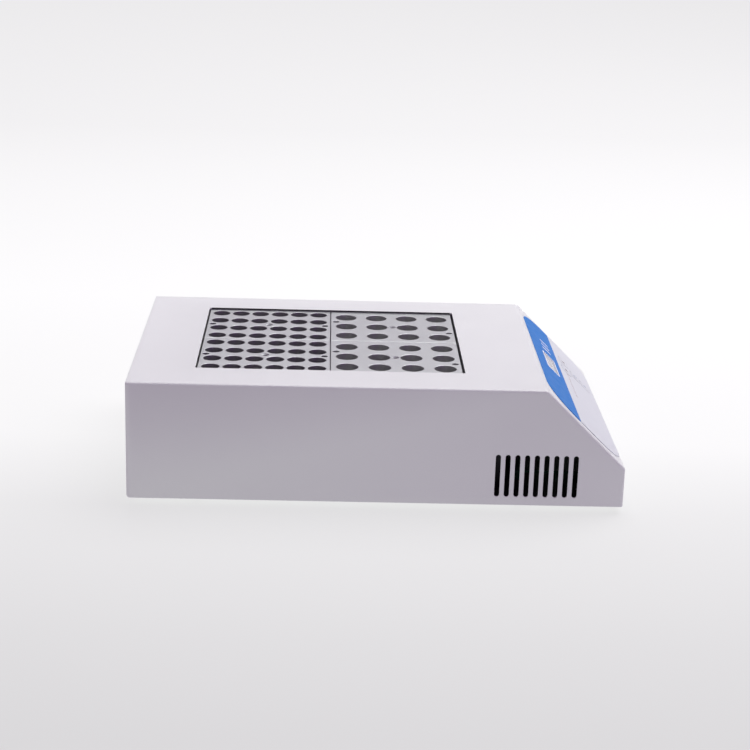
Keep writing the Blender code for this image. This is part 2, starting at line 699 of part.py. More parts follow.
def sensor():
    length = SENSOR_REAR - SENSOR_FRONT
    probe = cylinder_mesh("temperature_sensor", SENSOR_RADIUS, length, 12)
    place = (SENSOR_X, (SENSOR_REAR + SENSOR_FRONT) / 2, SENSOR_Z)
    part("temperature_sensor", probe, material("probe_steel", STEEL, 0.25, 1.0), place, ALONG_Y)


# The control panel.


def overlay():
    height = OVERLAY_BOTTOM - OVERLAY_TOP
    middle = (OVERLAY_BOTTOM + OVERLAY_TOP) / 2
    edge = rectangle(OVERLAY_WIDTH, height, OVERLAY_UPPER_RADIUS, OVERLAY_LOWER_RADIUS, steps=8)
    window = rectangle(WINDOW_WIDTH + 2 * GAP, WINDOW_HEIGHT + 2 * GAP, WINDOW_CORNER + GAP)
    key = rectangle(KEY_WIDTH + 2 * GAP, KEY_HEIGHT + 2 * GAP, KEY_CORNER + GAP)
    outlines = [edge, moved(window, WINDOW_X, middle - WINDOW_SLOPE)]
    for x, down in KEYS.values():
        outlines.append(moved(key, x, middle - down))
    film = plate_mesh("panel_overlay", outlines, OVERLAY_THICKNESS)
    place = on_slope(0.0, middle, OVERLAY_GAP + OVERLAY_THICKNESS / 2)
    part("panel_overlay", film, material("printed_film", PRINTED_BLUE, 0.35), place, SLOPE_TURN)
    outer = OVERLAY_GAP + OVERLAY_THICKNESS
    lens_outline = rectangle(WINDOW_WIDTH, WINDOW_HEIGHT, WINDOW_CORNER)
    lens = plate_mesh("display_window", [lens_outline], SHEET + outer)
    place = on_slope(WINDOW_X, WINDOW_SLOPE, (outer - SHEET) / 2)
    part("display_window", lens, material("clear_lens", (0.75, 0.76, 0.80), 0.15), place, SLOPE_TURN)


def keys():
    """Each key is a cap over the sheet with a stem that reaches a switch on the board."""
    face = material("key_face", KEY_GREY, 0.4)
    for name, (x, down) in KEYS.items():
        place = on_slope(x, down)
        cap = plate_mesh("key_" + name, [rectangle(KEY_WIDTH, KEY_HEIGHT, KEY_CORNER)], KEY_THICKNESS)
        cap.transform(Matrix.Translation((0.0, 0.0, KEY_LIFT + KEY_THICKNESS / 2)))
        key = part("key_" + name, cap, face, place, SLOPE_TURN)
        stem_top = KEY_LIFT + KEY_THICKNESS / 2
        stem = cylinder_mesh("stem", KEY_STEM_RADIUS, stem_top - STEM_END, 12)
        stem.transform(Matrix.Translation((0.0, 0.0, (stem_top + STEM_END) / 2)))
        boolean(key, "UNION", tool("stem_" + name, stem, place, SLOPE_TURN))


def tact_switches():
    black = material("tact_switch_black", DARK_PLASTIC, 0.45)
    for name, (x, down) in KEYS.items():
        body_top = SWITCH_TOP - TACT_NUB
        body = box_mesh("tact_switch", (TACT_WIDTH, TACT_WIDTH, TACT_BODY))
        place = on_slope(x, down, body_top - TACT_BODY / 2)
        switch = part("tact_switch_" + name, body, black, place, SLOPE_TURN)
        nub = cylinder_mesh("nub", TACT_NUB_RADIUS, 2 * TACT_NUB, 10)
        boolean(switch, "UNION", tool("nub_" + name, nub, on_slope(x, down, body_top), SLOPE_TURN))


def control_board():
    """The board lies under the slope on four moulded posts that reach the sheet."""
    outline = rectangle(BOARD_WIDTH, BOARD_HEIGHT, BOARD_CORNER)
    board = plate_mesh("control_board", [outline], BOARD_THICKNESS)
    place = on_slope(BOARD_X, BOARD_SLOPE, BOARD_TOP - BOARD_THICKNESS / 2)
    obj = part("control_board", board, material("control_board_green", GREEN_BOARD, 0.4), place, SLOPE_TURN)
    post_top = -SHEET - GAP
    post_bottom = BOARD_TOP - BOARD_THICKNESS / 2
    post = cylinder_mesh("post", BOARD_POST_RADIUS, post_top - post_bottom, 10)
    lean = Matrix.Rotation(SLOPE, 4, "X")
    placed = []
    for side in (-1, 1):
        for end in (-1, 1):
            x = BOARD_X + side * (BOARD_WIDTH / 2 - BOARD_POST_INSET)
            down = BOARD_SLOPE + end * (BOARD_HEIGHT / 2 - BOARD_POST_INSET)
            placed.append((post, Matrix.Translation(on_slope(x, down, (post_top + post_bottom) / 2)) @ lean))
    boolean(obj, "UNION", tool("control_board_posts", combined_mesh("posts", placed)))
    module_top = -SHEET - GAP
    module_height = module_top - BOARD_TOP - GAP
    module_size = (WINDOW_WIDTH + MODULE_MARGIN, WINDOW_HEIGHT + 2 * MODULE_MARGIN, module_height)
    module = box_mesh("display_module", module_size)
    place = on_slope(WINDOW_X, WINDOW_SLOPE, module_top - module_height / 2)
    part("display_module", module, material("display_grey", (0.35, 0.35, 0.36), 0.4), place, SLOPE_TURN)


# The electronics bay.


def power_board():
    """The mains board stands on four moulded posts."""
    width, length = POWER_BOARD
    board = plate_mesh("power_board", [rectangle(width, length, BOARD_CORNER)], BOARD_THICKNESS)
    middle = POWER_BOARD_TOP - BOARD_THICKNESS / 2
    place = (POWER_BOARD_X, POWER_BOARD_Y, middle)
    obj = part("power_board", board, material("power_board_green", GREEN_BOARD, 0.45), place)
    bottom = PLATE_TOP + GAP
    post = cylinder_mesh("post", BOARD_POST_RADIUS, middle - bottom, 10)
    placed = []
    for side in (-1, 1):
        for end in (-1, 1):
            x = POWER_BOARD_X + side * (width / 2 - BOARD_POST_INSET)
            y = POWER_BOARD_Y + end * (length / 2 - BOARD_POST_INSET)
            placed.append((post, Matrix.Translation((x, y, (middle + bottom) / 2))))
    boolean(obj, "UNION", tool("power_board_posts", combined_mesh("posts", placed)))


def transformer():
    """An iron core with its winding through it."""
    centre = (TRANSFORMER_X, TRANSFORMER_Y, PLATE_TOP + GAP + CORE_SIZE[2] / 2)
    core = box_mesh("transformer", CORE_SIZE)
    obj = part("transformer", core, material("lacquered_core", LACQUER, 0.5, 0.4), centre)
    boolean(obj, "UNION", tool("winding", box_mesh("winding", WINDING_SIZE), centre))


def triac_and_sink():
    """A finned heat sink on the base, with the triac that switches the heater on its front."""
    width, thickness, height = HEAT_SINK
    z = PLATE_TOP + GAP + height / 2
    back = box_mesh("heat_sink", HEAT_SINK)
    finish = material("black_anodised", ANODISED, 0.5, 0.6)
    obj = part("heat_sink", back, finish, (HEAT_SINK_X, HEAT_SINK_Y, z))
    fin = box_mesh("fin", (FIN_THICKNESS, FIN_LENGTH, height))
    placed = []
    for i in range(FINS):
        x = HEAT_SINK_X + (i / (FINS - 1) - 0.5) * (width - FIN_THICKNESS - FIN_INSET)
        y = HEAT_SINK_Y + FIN_LENGTH / 2 + FIN_ROOT
        placed.append((fin, Matrix.Translation((x, y, z))))
    boolean(obj, "UNION", tool("fins", combined_mesh("fins", placed)))
    chip_y = HEAT_SINK_Y - thickness / 2 - GAP - TRIAC[1] / 2
    chip_place = (HEAT_SINK_X, chip_y, z + TRIAC_RISE)
    part("triac", box_mesh("triac", TRIAC), material("triac_black", DARK_PLASTIC, 0.4), chip_place)


# The rear fittings.


def inlet():
    """A panel inlet: flange, body, socket and the slot for the fuse drawer."""
    black = material("inlet_black", DARK_PLASTIC, 0.4)
    flange = plate_mesh("power_inlet", [rectangle(*INLET_FLANGE, INLET_CORNER)], INLET_FLANGE_THICKNESS)
    flange_y = REAR_WALL_Y + GAP + INLET_FLANGE_THICKNESS / 2
    face_y = flange_y + INLET_FLANGE_THICKNESS / 2
    obj = part("power_inlet", flange, black, (INLET_X, flange_y, FITTINGS_Z), FACING_REAR)
    body = box_mesh("body", (INLET_BODY[0], INLET_DEPTH, INLET_BODY[1]))
    body_y = flange_y - INLET_DEPTH / 2
    boolean(obj, "UNION", tool("inlet_body", body, (INLET_X, body_y, FITTINGS_Z)))
    socket_z = FITTINGS_Z + SOCKET_RISE
    half_x = SOCKET_WIDTH / 2
    half_z = SOCKET_HEIGHT / 2
    outline = [
        (half_x, -half_z),
        (half_x, half_z - SOCKET_CHAMFER),
        (half_x - SOCKET_CHAMFER, half_z),
        (SOCKET_CHAMFER - half_x, half_z),
        (-half_x, half_z - SOCKET_CHAMFER),
        (-half_x, -half_z),
    ]
    socket = plate_mesh("socket", [outline], 2 * SOCKET_DEPTH)
    boolean(obj, "DIFFERENCE", tool("inlet_socket", socket, (INLET_X, face_y, socket_z), ALONG_Y))
    drawer_z = FITTINGS_Z - DRAWER_DROP
    slot = box_mesh("slot", (DRAWER_WIDTH + 2 * GAP, 2 * (DRAWER_DEPTH + GAP), DRAWER_HEIGHT + 2 * GAP))
    boolean(obj, "DIFFERENCE", tool("drawer_slot", slot, (INLET_X, face_y, drawer_z)))
    pins(obj, face_y, socket_z)
    fuse_drawer(face_y, drawer_z)


def pins(housing, face_y, socket_z):
    """Three blades that pass through the socket's floor and end as tabs behind it."""
    brass = material("plated_brass", (0.70, 0.66, 0.55), 0.3, 1.0)
    front = face_y - PIN_FRONT_DEPTH
    back = face_y - INLET_DEPTH - PIN_TAB
    length = front - back
    for name, (x, z) in PINS.items():
        place = (INLET_X + x, (front + back) / 2, socket_z + z)
        hole = box_mesh("pin_hole", (PIN_WIDTH + 2 * GAP, 2 * length, PIN_HEIGHT + 2 * GAP))
        boolean(housing, "DIFFERENCE", tool("pin_hole_" + name, hole, place))
        part("inlet_pin_" + name, box_mesh("pin", (PIN_WIDTH, length, PIN_HEIGHT)), brass, place)


def fuse_drawer(face_y, drawer_z):
    """The drawer has a lip over the flange and a trough for one glass fuse."""
    black = material("drawer_black", DARK_PLASTIC, 0.45)
    lip_y = face_y + GAP + DRAWER_LIP / 2
    body = box_mesh("fuse_drawer", (DRAWER_WIDTH, DRAWER_DEPTH, DRAWER_HEIGHT))
    obj = part("fuse_drawer", body, black, (INLET_X, lip_y - DRAWER_DEPTH / 2, drawer_z))
    margin = 2 * DRAWER_LIP_MARGIN
    front = box_mesh("front", (DRAWER_WIDTH + margin, DRAWER_LIP, DRAWER_HEIGHT + margin))
    boolean(obj, "UNION", tool("drawer_front", front, (INLET_X, lip_y, drawer_z)))
    trough_z = drawer_z + DRAWER_HEIGHT / 2
    trough = box_mesh("trough", (FUSE_LENGTH + 2 * GAP, FUSE_TROUGH, 2 * (DRAWER_HEIGHT - DRAWER_FLOOR)))
    fuse_y = face_y - FUSE_DEPTH
    boolean(obj, "DIFFERENCE", tool("fuse_trough", trough, (INLET_X, fuse_y, trough_z)))
    glass = cylinder_mesh("fuse", FUSE_RADIUS, FUSE_LENGTH, 12)
    fuse_z = drawer_z - DRAWER_HEIGHT / 2 + DRAWER_FLOOR + GAP + FUSE_RADIUS
    part("fuse", glass, material("fuse_glass", GLASS, 0.2), (INLET_X, fuse_y, fuse_z), ALONG_X)


def power_switch():
    """A rocker in a bezel. The rocker turns about a level axis behind the bezel's face."""
    black = material("switch_black", DARK_PLASTIC, 0.4)
    bezel = plate_mesh("switch_housing", [rectangle(*SWITCH_FLANGE, SWITCH_CORNER)], SWITCH_FLANGE_THICKNESS)
    bezel_y = REAR_WALL_Y + GAP + SWITCH_FLANGE_THICKNESS / 2
    face_y = bezel_y + SWITCH_FLANGE_THICKNESS / 2
    obj = part("switch_housing", bezel, black, (SWITCH_X, bezel_y, FITTINGS_Z), FACING_REAR)
    body = box_mesh("body", (SWITCH_BODY[0], SWITCH_DEPTH, SWITCH_BODY[1]))
    boolean(obj, "UNION", tool("switch_body", body, (SWITCH_X, bezel_y - SWITCH_DEPTH / 2, FITTINGS_Z)))
    well_height = 2 * (ROCKER_HALF + ROCKER_END_CLEARANCE)
    well = box_mesh("well", (ROCKER_WIDTH + 2 * GAP, 2 * ROCKER_WELL_DEPTH, well_height))
    boolean(obj, "DIFFERENCE", tool("switch_well", well, (SWITCH_X, face_y, FITTINGS_Z)))
    profile = [
        (-ROCKER_HALF, ROCKER_PROUD),
        (0.0, ROCKER_WAIST),
        (ROCKER_HALF, ROCKER_PROUD),
        (ROCKER_HALF - ROCKER_TAPER, -ROCKER_DEPTH),
        (0.0, -ROCKER_DEPTH - ROCKER_BELLY),
        (ROCKER_TAPER - ROCKER_HALF, -ROCKER_DEPTH),
    ]
    rocker = plate_mesh("switch_rocker", [profile], ROCKER_WIDTH)
    across = Matrix(((0, 0, 1, 0), (0, 1, 0, 0), (-1, 0, 0, 0), (0, 0, 0, 1)))
    rocker.transform(Matrix.Translation((0.0, ROCKER_PIVOT_DEPTH, 0.0)) @ across)
    pivot = (SWITCH_X, face_y - ROCKER_PIVOT_DEPTH, FITTINGS_Z)
    finish = material("rocker_black", DARK_PLASTIC, 0.35)
    part("switch_rocker", rocker, finish, pivot, (-ROCKER_TILT, 0.0, 0.0))


# Wiring.


def smooth_route(points, spacing):
    """Points about evenly spaced along a smooth curve through the given ones."""
    vectors = [Vector(p) for p in points]
    padded = [2 * vectors[0] - vectors[1], *vectors, 2 * vectors[-1] - vectors[-2]]
    route = [vectors[0]]
    for before, start, end, after in zip(padded, padded[1:], padded[2:], padded[3:]):
        steps = max(2, round((end - start).length / spacing))
        for i in range(1, steps + 1):
            t = i / steps
            bent = 2 * start + (end - before) * t
            bent += (2 * before - 5 * start + 4 * end - after) * t**2
            bent += (3 * start - before - 3 * end + after) * t**3
            route.append(bent / 2)
    return route


def wire(name, points, radius, finish, spacing):
    curve = bpy.data.curves.new(name, "CURVE")
    curve.dimensions = "3D"
    curve.bevel_depth = radius
    curve.bevel_resolution = 2
    curve.use_fill_caps = True
    route = smooth_route(points, spacing)
    spline = curve.splines.new("POLY")
    spline.points.add(len(route) - 1)
    for point, place in zip(spline.points, route):
        point.co = (*place, 1.0)
    curve.materials.append(finish)
    parts.objects.link(bpy.data.objects.new(name, curve))


def wiring():
    """Leads between the pieces, each ending a gap short of what it joins."""
    loom_x = 0.1025
    loom_z = 0.020
    behind_pins = REAR_WALL_Y + GAP + INLET_FLANGE_THICKNESS - INLET_DEPTH - 0.0115
    mains = [
        (INLET_X - 0.007, behind_pins, FITTINGS_Z + 0.0035),
        (INLET_X + 0.010, behind_pins, FITTINGS_Z),
        (INLET_X + 0.028, behind_pins, FITTINGS_Z - 0.010),
        (loom_x - 0.003, behind_pins - 0.006, loom_z + 0.007),
        (loom_x, 0.110, loom_z),
        (loom_x, 0.020, loom_z),
        (loom_x, -0.060, loom_z),
        (loom_x - 0.001, -0.110, loom_z),
        (0.088, -0.134, 0.022),
        (0.066, -0.140, 0.024),
        (0.046, -0.140, 0.0195),
    ]
    wire("mains_loom", mains, 0.003, material("loom_sleeve", (0.05, 0.05, 0.05), 0.6), 0.012)
    mat_z = TRAY_UNDERSIDE - GAP - HEATER_THICKNESS / 2
    mat_front = OPENING_Y - HEATER_LENGTH / 2
    heater_lead = [
        (HEATER_LEAD_X, mat_front - GAP, mat_z - 0.0003),
        (HEATER_LEAD_X, mat_front - 0.004, mat_z - 0.0014),
        (HEATER_LEAD_X, mat_front - 0.008, HEATER_LEAD_Z + 0.001),
        (HEATER_LEAD_X, -0.070, HEATER_LEAD_Z),
        (HEATER_LEAD_X, -0.085, HEATER_LEAD_Z),
        (-0.033, -0.104, 0.020),
        (-0.036, -0.112, 0.0172),
    ]
    red = material("silicone_lead", SILICONE_RED, 0.5)
    wire("heater_lead", heater_lead, HEATER_LEAD_RADIUS, red, 0.004)
    board_edge = on_slope(0.010, BOARD_SLOPE - 0.006, BOARD_TOP - BOARD_THICKNESS - GAP - 0.001)
    sensor_lead = [
        (SENSOR_X, SENSOR_FRONT - GAP, SENSOR_Z),
        (SENSOR_X, SENSOR_FRONT - 0.008, SENSOR_Z),
        (0.015, -0.102, 0.044),
        (0.010, -0.118, 0.050),
        tuple(board_edge),
    ]
    wire("sensor_lead", sensor_lead, 0.001, material("sensor_sheath", (0.65, 0.65, 0.66), 0.5), 0.005)


cover()
chassis()
feet()
cover_screws()
blocks()
tray()
heater()
tray_posts()
sensor()
overlay()
keys()
tact_switches()
control_board()
power_board()
transformer()
triac_and_sink()
inlet()
power_switch()
wiring()
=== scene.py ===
"""The looks of the dry block heater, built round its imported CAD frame. Metres, +Z up, front at -Y."""

import json
import math

import bmesh
import bpy
from mathutils import Matrix, Vector


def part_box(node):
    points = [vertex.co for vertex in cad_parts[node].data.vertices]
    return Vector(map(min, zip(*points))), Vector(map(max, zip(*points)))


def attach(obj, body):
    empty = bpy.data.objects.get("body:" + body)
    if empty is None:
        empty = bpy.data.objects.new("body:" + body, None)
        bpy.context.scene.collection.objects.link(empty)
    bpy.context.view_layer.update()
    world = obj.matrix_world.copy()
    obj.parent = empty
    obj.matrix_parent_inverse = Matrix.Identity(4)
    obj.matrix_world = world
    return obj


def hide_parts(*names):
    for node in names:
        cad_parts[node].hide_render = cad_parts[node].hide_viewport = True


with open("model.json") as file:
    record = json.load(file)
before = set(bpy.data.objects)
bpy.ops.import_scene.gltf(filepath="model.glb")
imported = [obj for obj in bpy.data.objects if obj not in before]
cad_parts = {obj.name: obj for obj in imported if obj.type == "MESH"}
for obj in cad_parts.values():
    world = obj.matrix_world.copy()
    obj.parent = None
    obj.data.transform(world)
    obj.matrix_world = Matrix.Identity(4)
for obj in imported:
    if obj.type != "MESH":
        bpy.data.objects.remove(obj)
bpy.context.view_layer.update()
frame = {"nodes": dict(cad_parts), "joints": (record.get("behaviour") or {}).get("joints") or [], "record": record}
record = frame["record"]

# The case. Its outside comes from the frame, and these are its sheet and its folds.
SHEET = 0.0012
BEND_RADIUS = 0.0018
BEND_STEPS = 6
REAR_CORNER = 0.0025
GAP = 0.0003
LIP = 0.013
LIP_SHORTER = 0.012
LIP_FROM_REAR = 0.008
OPENING_MARGIN = 0.0025
OPENING_CORNER = 0.0015
SCREW_HOLE_RADIUS = 0.0019
HOLE_STEPS = 20
PAINTED_EDGE = 0.004
# Which inside faces take the painted shade: how far in they must look, and the least area.
INSIDE_SHADE_DEPTH = 0.02
INSIDE_SHADE_AREA = 1e-5
EDGE = 0.00022
SMALL_EDGE = 0.0002
CLOSE = 0.006
TOP_LENGTH = 0.2938
FRONT_HEIGHT = 0.0288

# How thick the cutters are that go through a sheet, and how far out the others start.
THROUGH = 0.006
SLOT_THROUGH = 0.02
WALL_THROUGH = 0.01
OVERCUT = 0.002
WELL_OVERCUT = 0.004
LIFT_OVERCUT = 0.001

cover_low, cover_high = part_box("top_cover")
X_OUT = cover_high.x
Y_REAR = cover_high.y
Y_FRONT = cover_low.y
Z_BASE = cover_low.z
Z_TOP = cover_high.z
Y_BEND = Y_REAR - TOP_LENGTH
Z_LOW_BEND = Z_BASE + FRONT_HEIGHT
SLOPE = math.atan2(Z_TOP - Z_LOW_BEND, Y_BEND - Y_FRONT)
PANEL = Matrix.Translation((0.0, Y_BEND, Z_TOP)) @ Matrix.Rotation(SLOPE, 4, "X")

# The vents in the sides, and the slots in the base.
VENTS = 9
VENT_FIRST = 0.2615
VENT_PITCH = 0.00689
VENT_WIDTH = 0.0036
VENT_LOW = 0.0063
VENT_HIGH = 0.0378
BASE_SLOTS = 7
BASE_SLOT_PITCH = 0.014
BASE_SLOT = (0.0036, 0.030)
BASE_SLOT_Y = 0.040

# The wells.
WELL_DEPTH = 0.042
WELL_STEPS = 48
WELL_CHAMFER = 0.00055
DRILL_POINT = math.radians(31)
BORE_START = 0.0006
SKIN = (0.0006, 0.001)
REAR_WELLS = {"radius": 0.0065, "rows": 4, "row_pitch": 0.02006, "columns": 6, "column_pitch": 0.0153}
FRONT_WELLS = {"radius": 0.008, "rows": 3, "row_pitch": 0.02469, "columns": 4, "column_pitch": 0.02374}
PROBE_HOLE_RADIUS = 0.0024
PROBE_HOLE_STEPS = 24
PROBE_HOLE_DEPTH = 0.034
PROBE_HOLE_Y = 0.0435
FRONT_PROBE_HOLE_X = 0.0125
LIFT_HOLE_RADIUS = 0.0015
LIFT_HOLE_DEPTH = 0.011
LIFT_RECESS = (0.0029, 0.0005)

# The panel. Places are an X and a distance down the slope from the top bend.
BAND_DOWN = 0.0350
UPPER_RADIUS = 0.026
LOWER_RADIUS = 0.020
FILM_TOP = 0.0005
FILM_EDGE = 0.00010
PRINT = 0.00003
STEM_RADIUS = 0.002
KEY_CORNER = 0.002
KEY_INNER_CORNER = 0.0004
KEY_OUTLINE = (0.0014, 0.0008)
KEY_SLIT = 0.00016
KEY_UNDERSIDE = 0.00055
KEY_CROWN = ((0.00008, 0.00055), (0.0, 0.00059), (0.0009, 0.00068), (0.0020, 0.00072))
UP_ARROW = ((-0.0022, -0.0014), (0.0022, -0.0014), (0.0, 0.0019))
DOWN_ARROW = ((-0.0022, 0.0014), (0.0, -0.0019), (0.0022, 0.0014))
POINTER = ((-0.0014, -0.0019), (0.0020, 0.0), (-0.0014, 0.0019))
RING = (0.0020, 0.0013)
RING_STEPS = 28
WINDOW_SEEN = (-0.0186, 0.0184, 0.0163, 0.0274)
WINDOW_CORNER = 0.0008
WINDOW_RIM = (0.0013, 0.0002)
LENS_THICKNESS = 0.0006
LENS_EDGE = 0.00012
HEAT_LINES = 3
HEAT_LINE_X = 0.0350
HEAT_LINE_PITCH = 0.0100
HEAT_LINE_DOWN = 0.0226
HEAT_LINE_LENGTH = 0.0092
HEAT_LINE_WIDTH = 0.0026
HEAT_LINE_SWAY = 0.0003
HEAT_LINE_STEPS = 24
TICKS = 17
TICK_X = -0.0290
TICK_PITCH = 0.0033
TICK_WIDTH = 0.0010
TICK_DOWN = 0.0455
TICK_HEIGHTS = (0.0022, 0.0012)
TICK_GROUP = 4
DIGIT_HEIGHT = 0.0076
DIGIT_WIDTH = 0.0044
DIGIT_STROKE = 0.00092
DIGIT_PITCH = 0.0072
DIGIT_GAP = 0.00012
DIGIT_THICKNESS = 0.0001
DIGITS_BELOW = 0.0002
POINT_RADIUS = 0.0005
SEGMENTS_OF = {"0": "abcdef", "3": "abcdg", "7": "abc"}
READING = "370"

# The feet and the screws.
FOOT_TOP_EDGE = (0.0002, 0.0003)
FOOT_TAPER = 0.0008
FOOT_ROUND = (0.0006, 0.0001, 0.00018)
FOOT_HOLE = (0.0048, 0.0042, 0.0005, 0.0026)
FOOT_WEB = 0.0002
HEAD_HEIGHT = {"foot": 0.0016, "cover": 0.0018}
HEAD_RIM = 0.0005
HEAD_DOME = 0.0011
THREAD_OVERLAP = 0.0004
THREAD_PITCH = 0.0005
THREAD_ROOT = 0.00128
THREAD_CREST = 0.0015
THREAD_EASE = 0.00002
CROSS_TURN = 0.6
CROSS_REACH = 1.15
CROSS_ARM = (0.0006, 0.0020)

# The rear fittings, which match their CAD pieces.
INLET_FLANGE = 0.0025
INLET_CORNER = 0.003
INLET_EDGE = 0.0006
INLET_INSET = 0.001
INLET_BODY = (0.0272, 0.0322)
INLET_DEPTH = 0.021
SOCKET = (0.0240, 0.0165)
SOCKET_DEPTH = 0.016
SOCKET_RISE = 0.0055
SOCKET_CHAMFER = 0.005
PIN_CUT = 0.05
PIN_EDGE = 0.0005
MOULDED_EDGE = 0.00025
DRAWER = (0.0224, 0.0165, 0.0072)
DRAWER_DROP = 0.0105
DRAWER_LIP = 0.0012
DRAWER_FLOOR = 0.001
DRAWER_TROUGH = 0.0062
DRAWER_CORNER = 0.0010
DRAWER_NOTCH = (0.0042, 0.0007)
FUSE_CAP = 0.0055
FUSE_CAP_ROUND = 0.0004
FUSE_GAP = 0.0001
SWITCH_FLANGE = 0.0018
SWITCH_CORNER = 0.002
SWITCH_EDGE = 0.0005
SWITCH_INSET = 0.0008
SWITCH_WELL = 0.018
SWITCH_WELL_MARGIN = 0.0016
SWITCH_BODY = (0.0128, 0.0190)
SWITCH_DEPTH = 0.014
ROCKER_WIDTH = 0.0102
ROCKER_HALF = 0.0077
ROCKER_PROUD = 0.0022
ROCKER_WAIST = 0.0012
ROCKER_DEPTH = 0.0042
ROCKER_TILT = math.radians(9)
ROCKER_STEPS = 16
ROCKER_DISH = 1.3
ROCKER_TAPER = 0.0006
ROCKER_KEEL = 0.001
ROCKER_EDGE = 0.00035
PIVOT_TO_CAP = 0.0015
ON_MARK = (0.0006, 0.0030)
OFF_MARK = (0.0016, 0.0011)
MARK_THICKNESS = 0.00005
MARK_RISE = 0.48
MARK_PLACE = 0.56
MARK_LEAN = 1.12


# Outlines: lists of (x, y) points.


def arc(centre, radius, start, end, steps):
    """Points along an arc, its ends included. The angles are in degrees."""
    angles = [math.radians(start + (end - start) * i / steps) for i in range(steps + 1)]
    return [(centre[0] + radius * math.cos(t), centre[1] + radius * math.sin(t)) for t in angles]


def rectangle(width, height, upper_radius=0.0, lower_radius=None, steps=8):
    """A rectangle about the origin, with rounded upper and lower corners."""
    lower = upper_radius if lower_radius is None else lower_radius
    corners = ((1, 1, 0, upper_radius), (-1, 1, 90, upper_radius), (-1, -1, 180, lower), (1, -1, 270, lower))
    points = []
    for side_x, side_y, angle, radius in corners:
        if radius == 0.0:
            points.append((side_x * width / 2, side_y * height / 2))
            continue
        centre = (side_x * (width / 2 - radius), side_y * (height / 2 - radius))
        points += arc(centre, radius, angle, angle + 90, steps)
    return points


def circle(radius, steps=32):
    return arc((0.0, 0.0), radius, 0, 360 - 360 / steps, steps - 1)


def moved(outline, x, y):
    return [(px + x, py + y) for px, py in outline]


# Meshes.


def plate(outlines, thickness, matrix=Matrix.Identity(4)):
    """A flat plate from z = 0 up. The first outline is its edge, and those inside it are holes."""
    curve = bpy.data.curves.new("plate", "CURVE")
    curve.dimensions = "2D"
    curve.fill_mode = "BOTH"
    curve.extrude = thickness / 2
    for outline in outlines:
        spline = curve.splines.new("POLY")
        spline.points.add(len(outline) - 1)
        for point, (x, y) in zip(spline.points, outline):
            point.co = (x, y, 0.0, 1.0)
        spline.use_cyclic_u = True
    guide = bpy.data.objects.new("plate", curve)
    bpy.context.scene.collection.objects.link(guide)
    mesh = bpy.data.meshes.new_from_object(guide.evaluated_get(bpy.context.evaluated_depsgraph_get()))
    bpy.data.objects.remove(guide)
    bpy.data.curves.remove(curve)
    bm = bmesh.new()
    bm.from_mesh(mesh)
    bpy.data.meshes.remove(mesh)
    bmesh.ops.remove_doubles(bm, verts=bm.verts, dist=1e-6)
    bmesh.ops.dissolve_limit(bm, angle_limit=math.radians(0.5), verts=bm.verts, edges=bm.edges)
    bmesh.ops.transform(bm, matrix=matrix @ Matrix.Translation((0, 0, thickness / 2)), verts=bm.verts)
    return bm


def block(size, matrix=Matrix.Identity(4)):
    bm = bmesh.new()
    bmesh.ops.create_cube(bm, size=1.0, matrix=matrix @ Matrix.Diagonal((*size, 1.0)))
    return bm


def turned(profile, steps=32, matrix=Matrix.Identity(4)):
    """A closed turned shape about Z. The profile runs from top to foot, and starts and ends on the axis."""
    bm = bmesh.new()
    rings = []
    for radius, z in profile:
        if radius == 0.0:
            rings.append([bm.verts.new((0.0, 0.0, z))])
        else:
            rings.append([bm.verts.new((x, y, z)) for x, y in circle(radius, steps)])
    for upper, lower in zip(rings, rings[1:]):
        for i in range(steps):
            j = (i + 1) % steps
            near = [upper[i % len(upper)], lower[i % len(lower)]]
            far = [lower[j % len(lower)], upper[j % len(upper)]]
            bm.faces.new(list(dict.fromkeys(near + far)))
    bmesh.ops.transform(bm, matrix=matrix, verts=bm.verts)
    return bm


def merged(*shapes):
    """One mesh of several. The others are freed."""
    first, *others = shapes
    for other in others:
        spare = bpy.data.meshes.new("spare")
        other.to_mesh(spare)
        other.free()
        first.from_mesh(spare)
        bpy.data.meshes.remove(spare)
    return first


def copies(make, places):
    """One mesh of the same shape at several matrices."""
    return merged(*[make(place) for place in places])


def at(x, y, z):
    return Matrix.Translation((x, y, z))


def piece(name, bm, *materials):
    mesh = bpy.data.meshes.new(name)
    bm.to_mesh(mesh)
    bm.free()
    for made in materials:
        mesh.materials.append(made)
    obj = bpy.data.objects.new(name, mesh)
    bpy.context.scene.collection.objects.link(obj)
    return obj


def settle(obj):
    """Applies the object's modifiers."""
    graph = bpy.context.evaluated_depsgraph_get()
    settled = bpy.data.meshes.new_from_object(obj.evaluated_get(graph))
    old = obj.data
    obj.modifiers.clear()
    obj.data = settled
    bpy.data.meshes.remove(old)
    settled.name = obj.name
    return obj


def carve(obj, bm, operation="DIFFERENCE"):
    other = piece("tool", bm)
    modifier = obj.modifiers.new("carve", "BOOLEAN")
    modifier.operation = operation
    modifier.solver = "EXACT"
    modifier.object = other
    settle(obj)
    bpy.data.objects.remove(other)
    return obj


def soften(obj, width=EDGE, steps=2, angle=50, left_sharp=()):
    """Rounds the sharp edges a little, so that they catch the light, but not close to the points given."""
    bm = bmesh.new()
    bm.from_mesh(obj.data)
    weight = bm.edges.layers.float.new("bevel_weight_edge")
    for edge in bm.edges:
        middle = (edge.verts[0].co + edge.verts[1].co) / 2
        is_sharp = len(edge.link_faces) == 2 and edge.calc_face_angle(0.0) > math.radians(angle)
        is_close = any((middle - Vector(point)).length < CLOSE for point in left_sharp)
        edge[weight] = 1.0 if is_sharp and not is_close else 0.0
    bm.to_mesh(obj.data)
    bm.free()
    bevel = obj.modifiers.new("soften", "BEVEL")
    bevel.width = width
    bevel.segments = steps
    bevel.limit_method = "WEIGHT"
    bevel.use_clamp_overlap = False
    return smooth(settle(obj), 40)


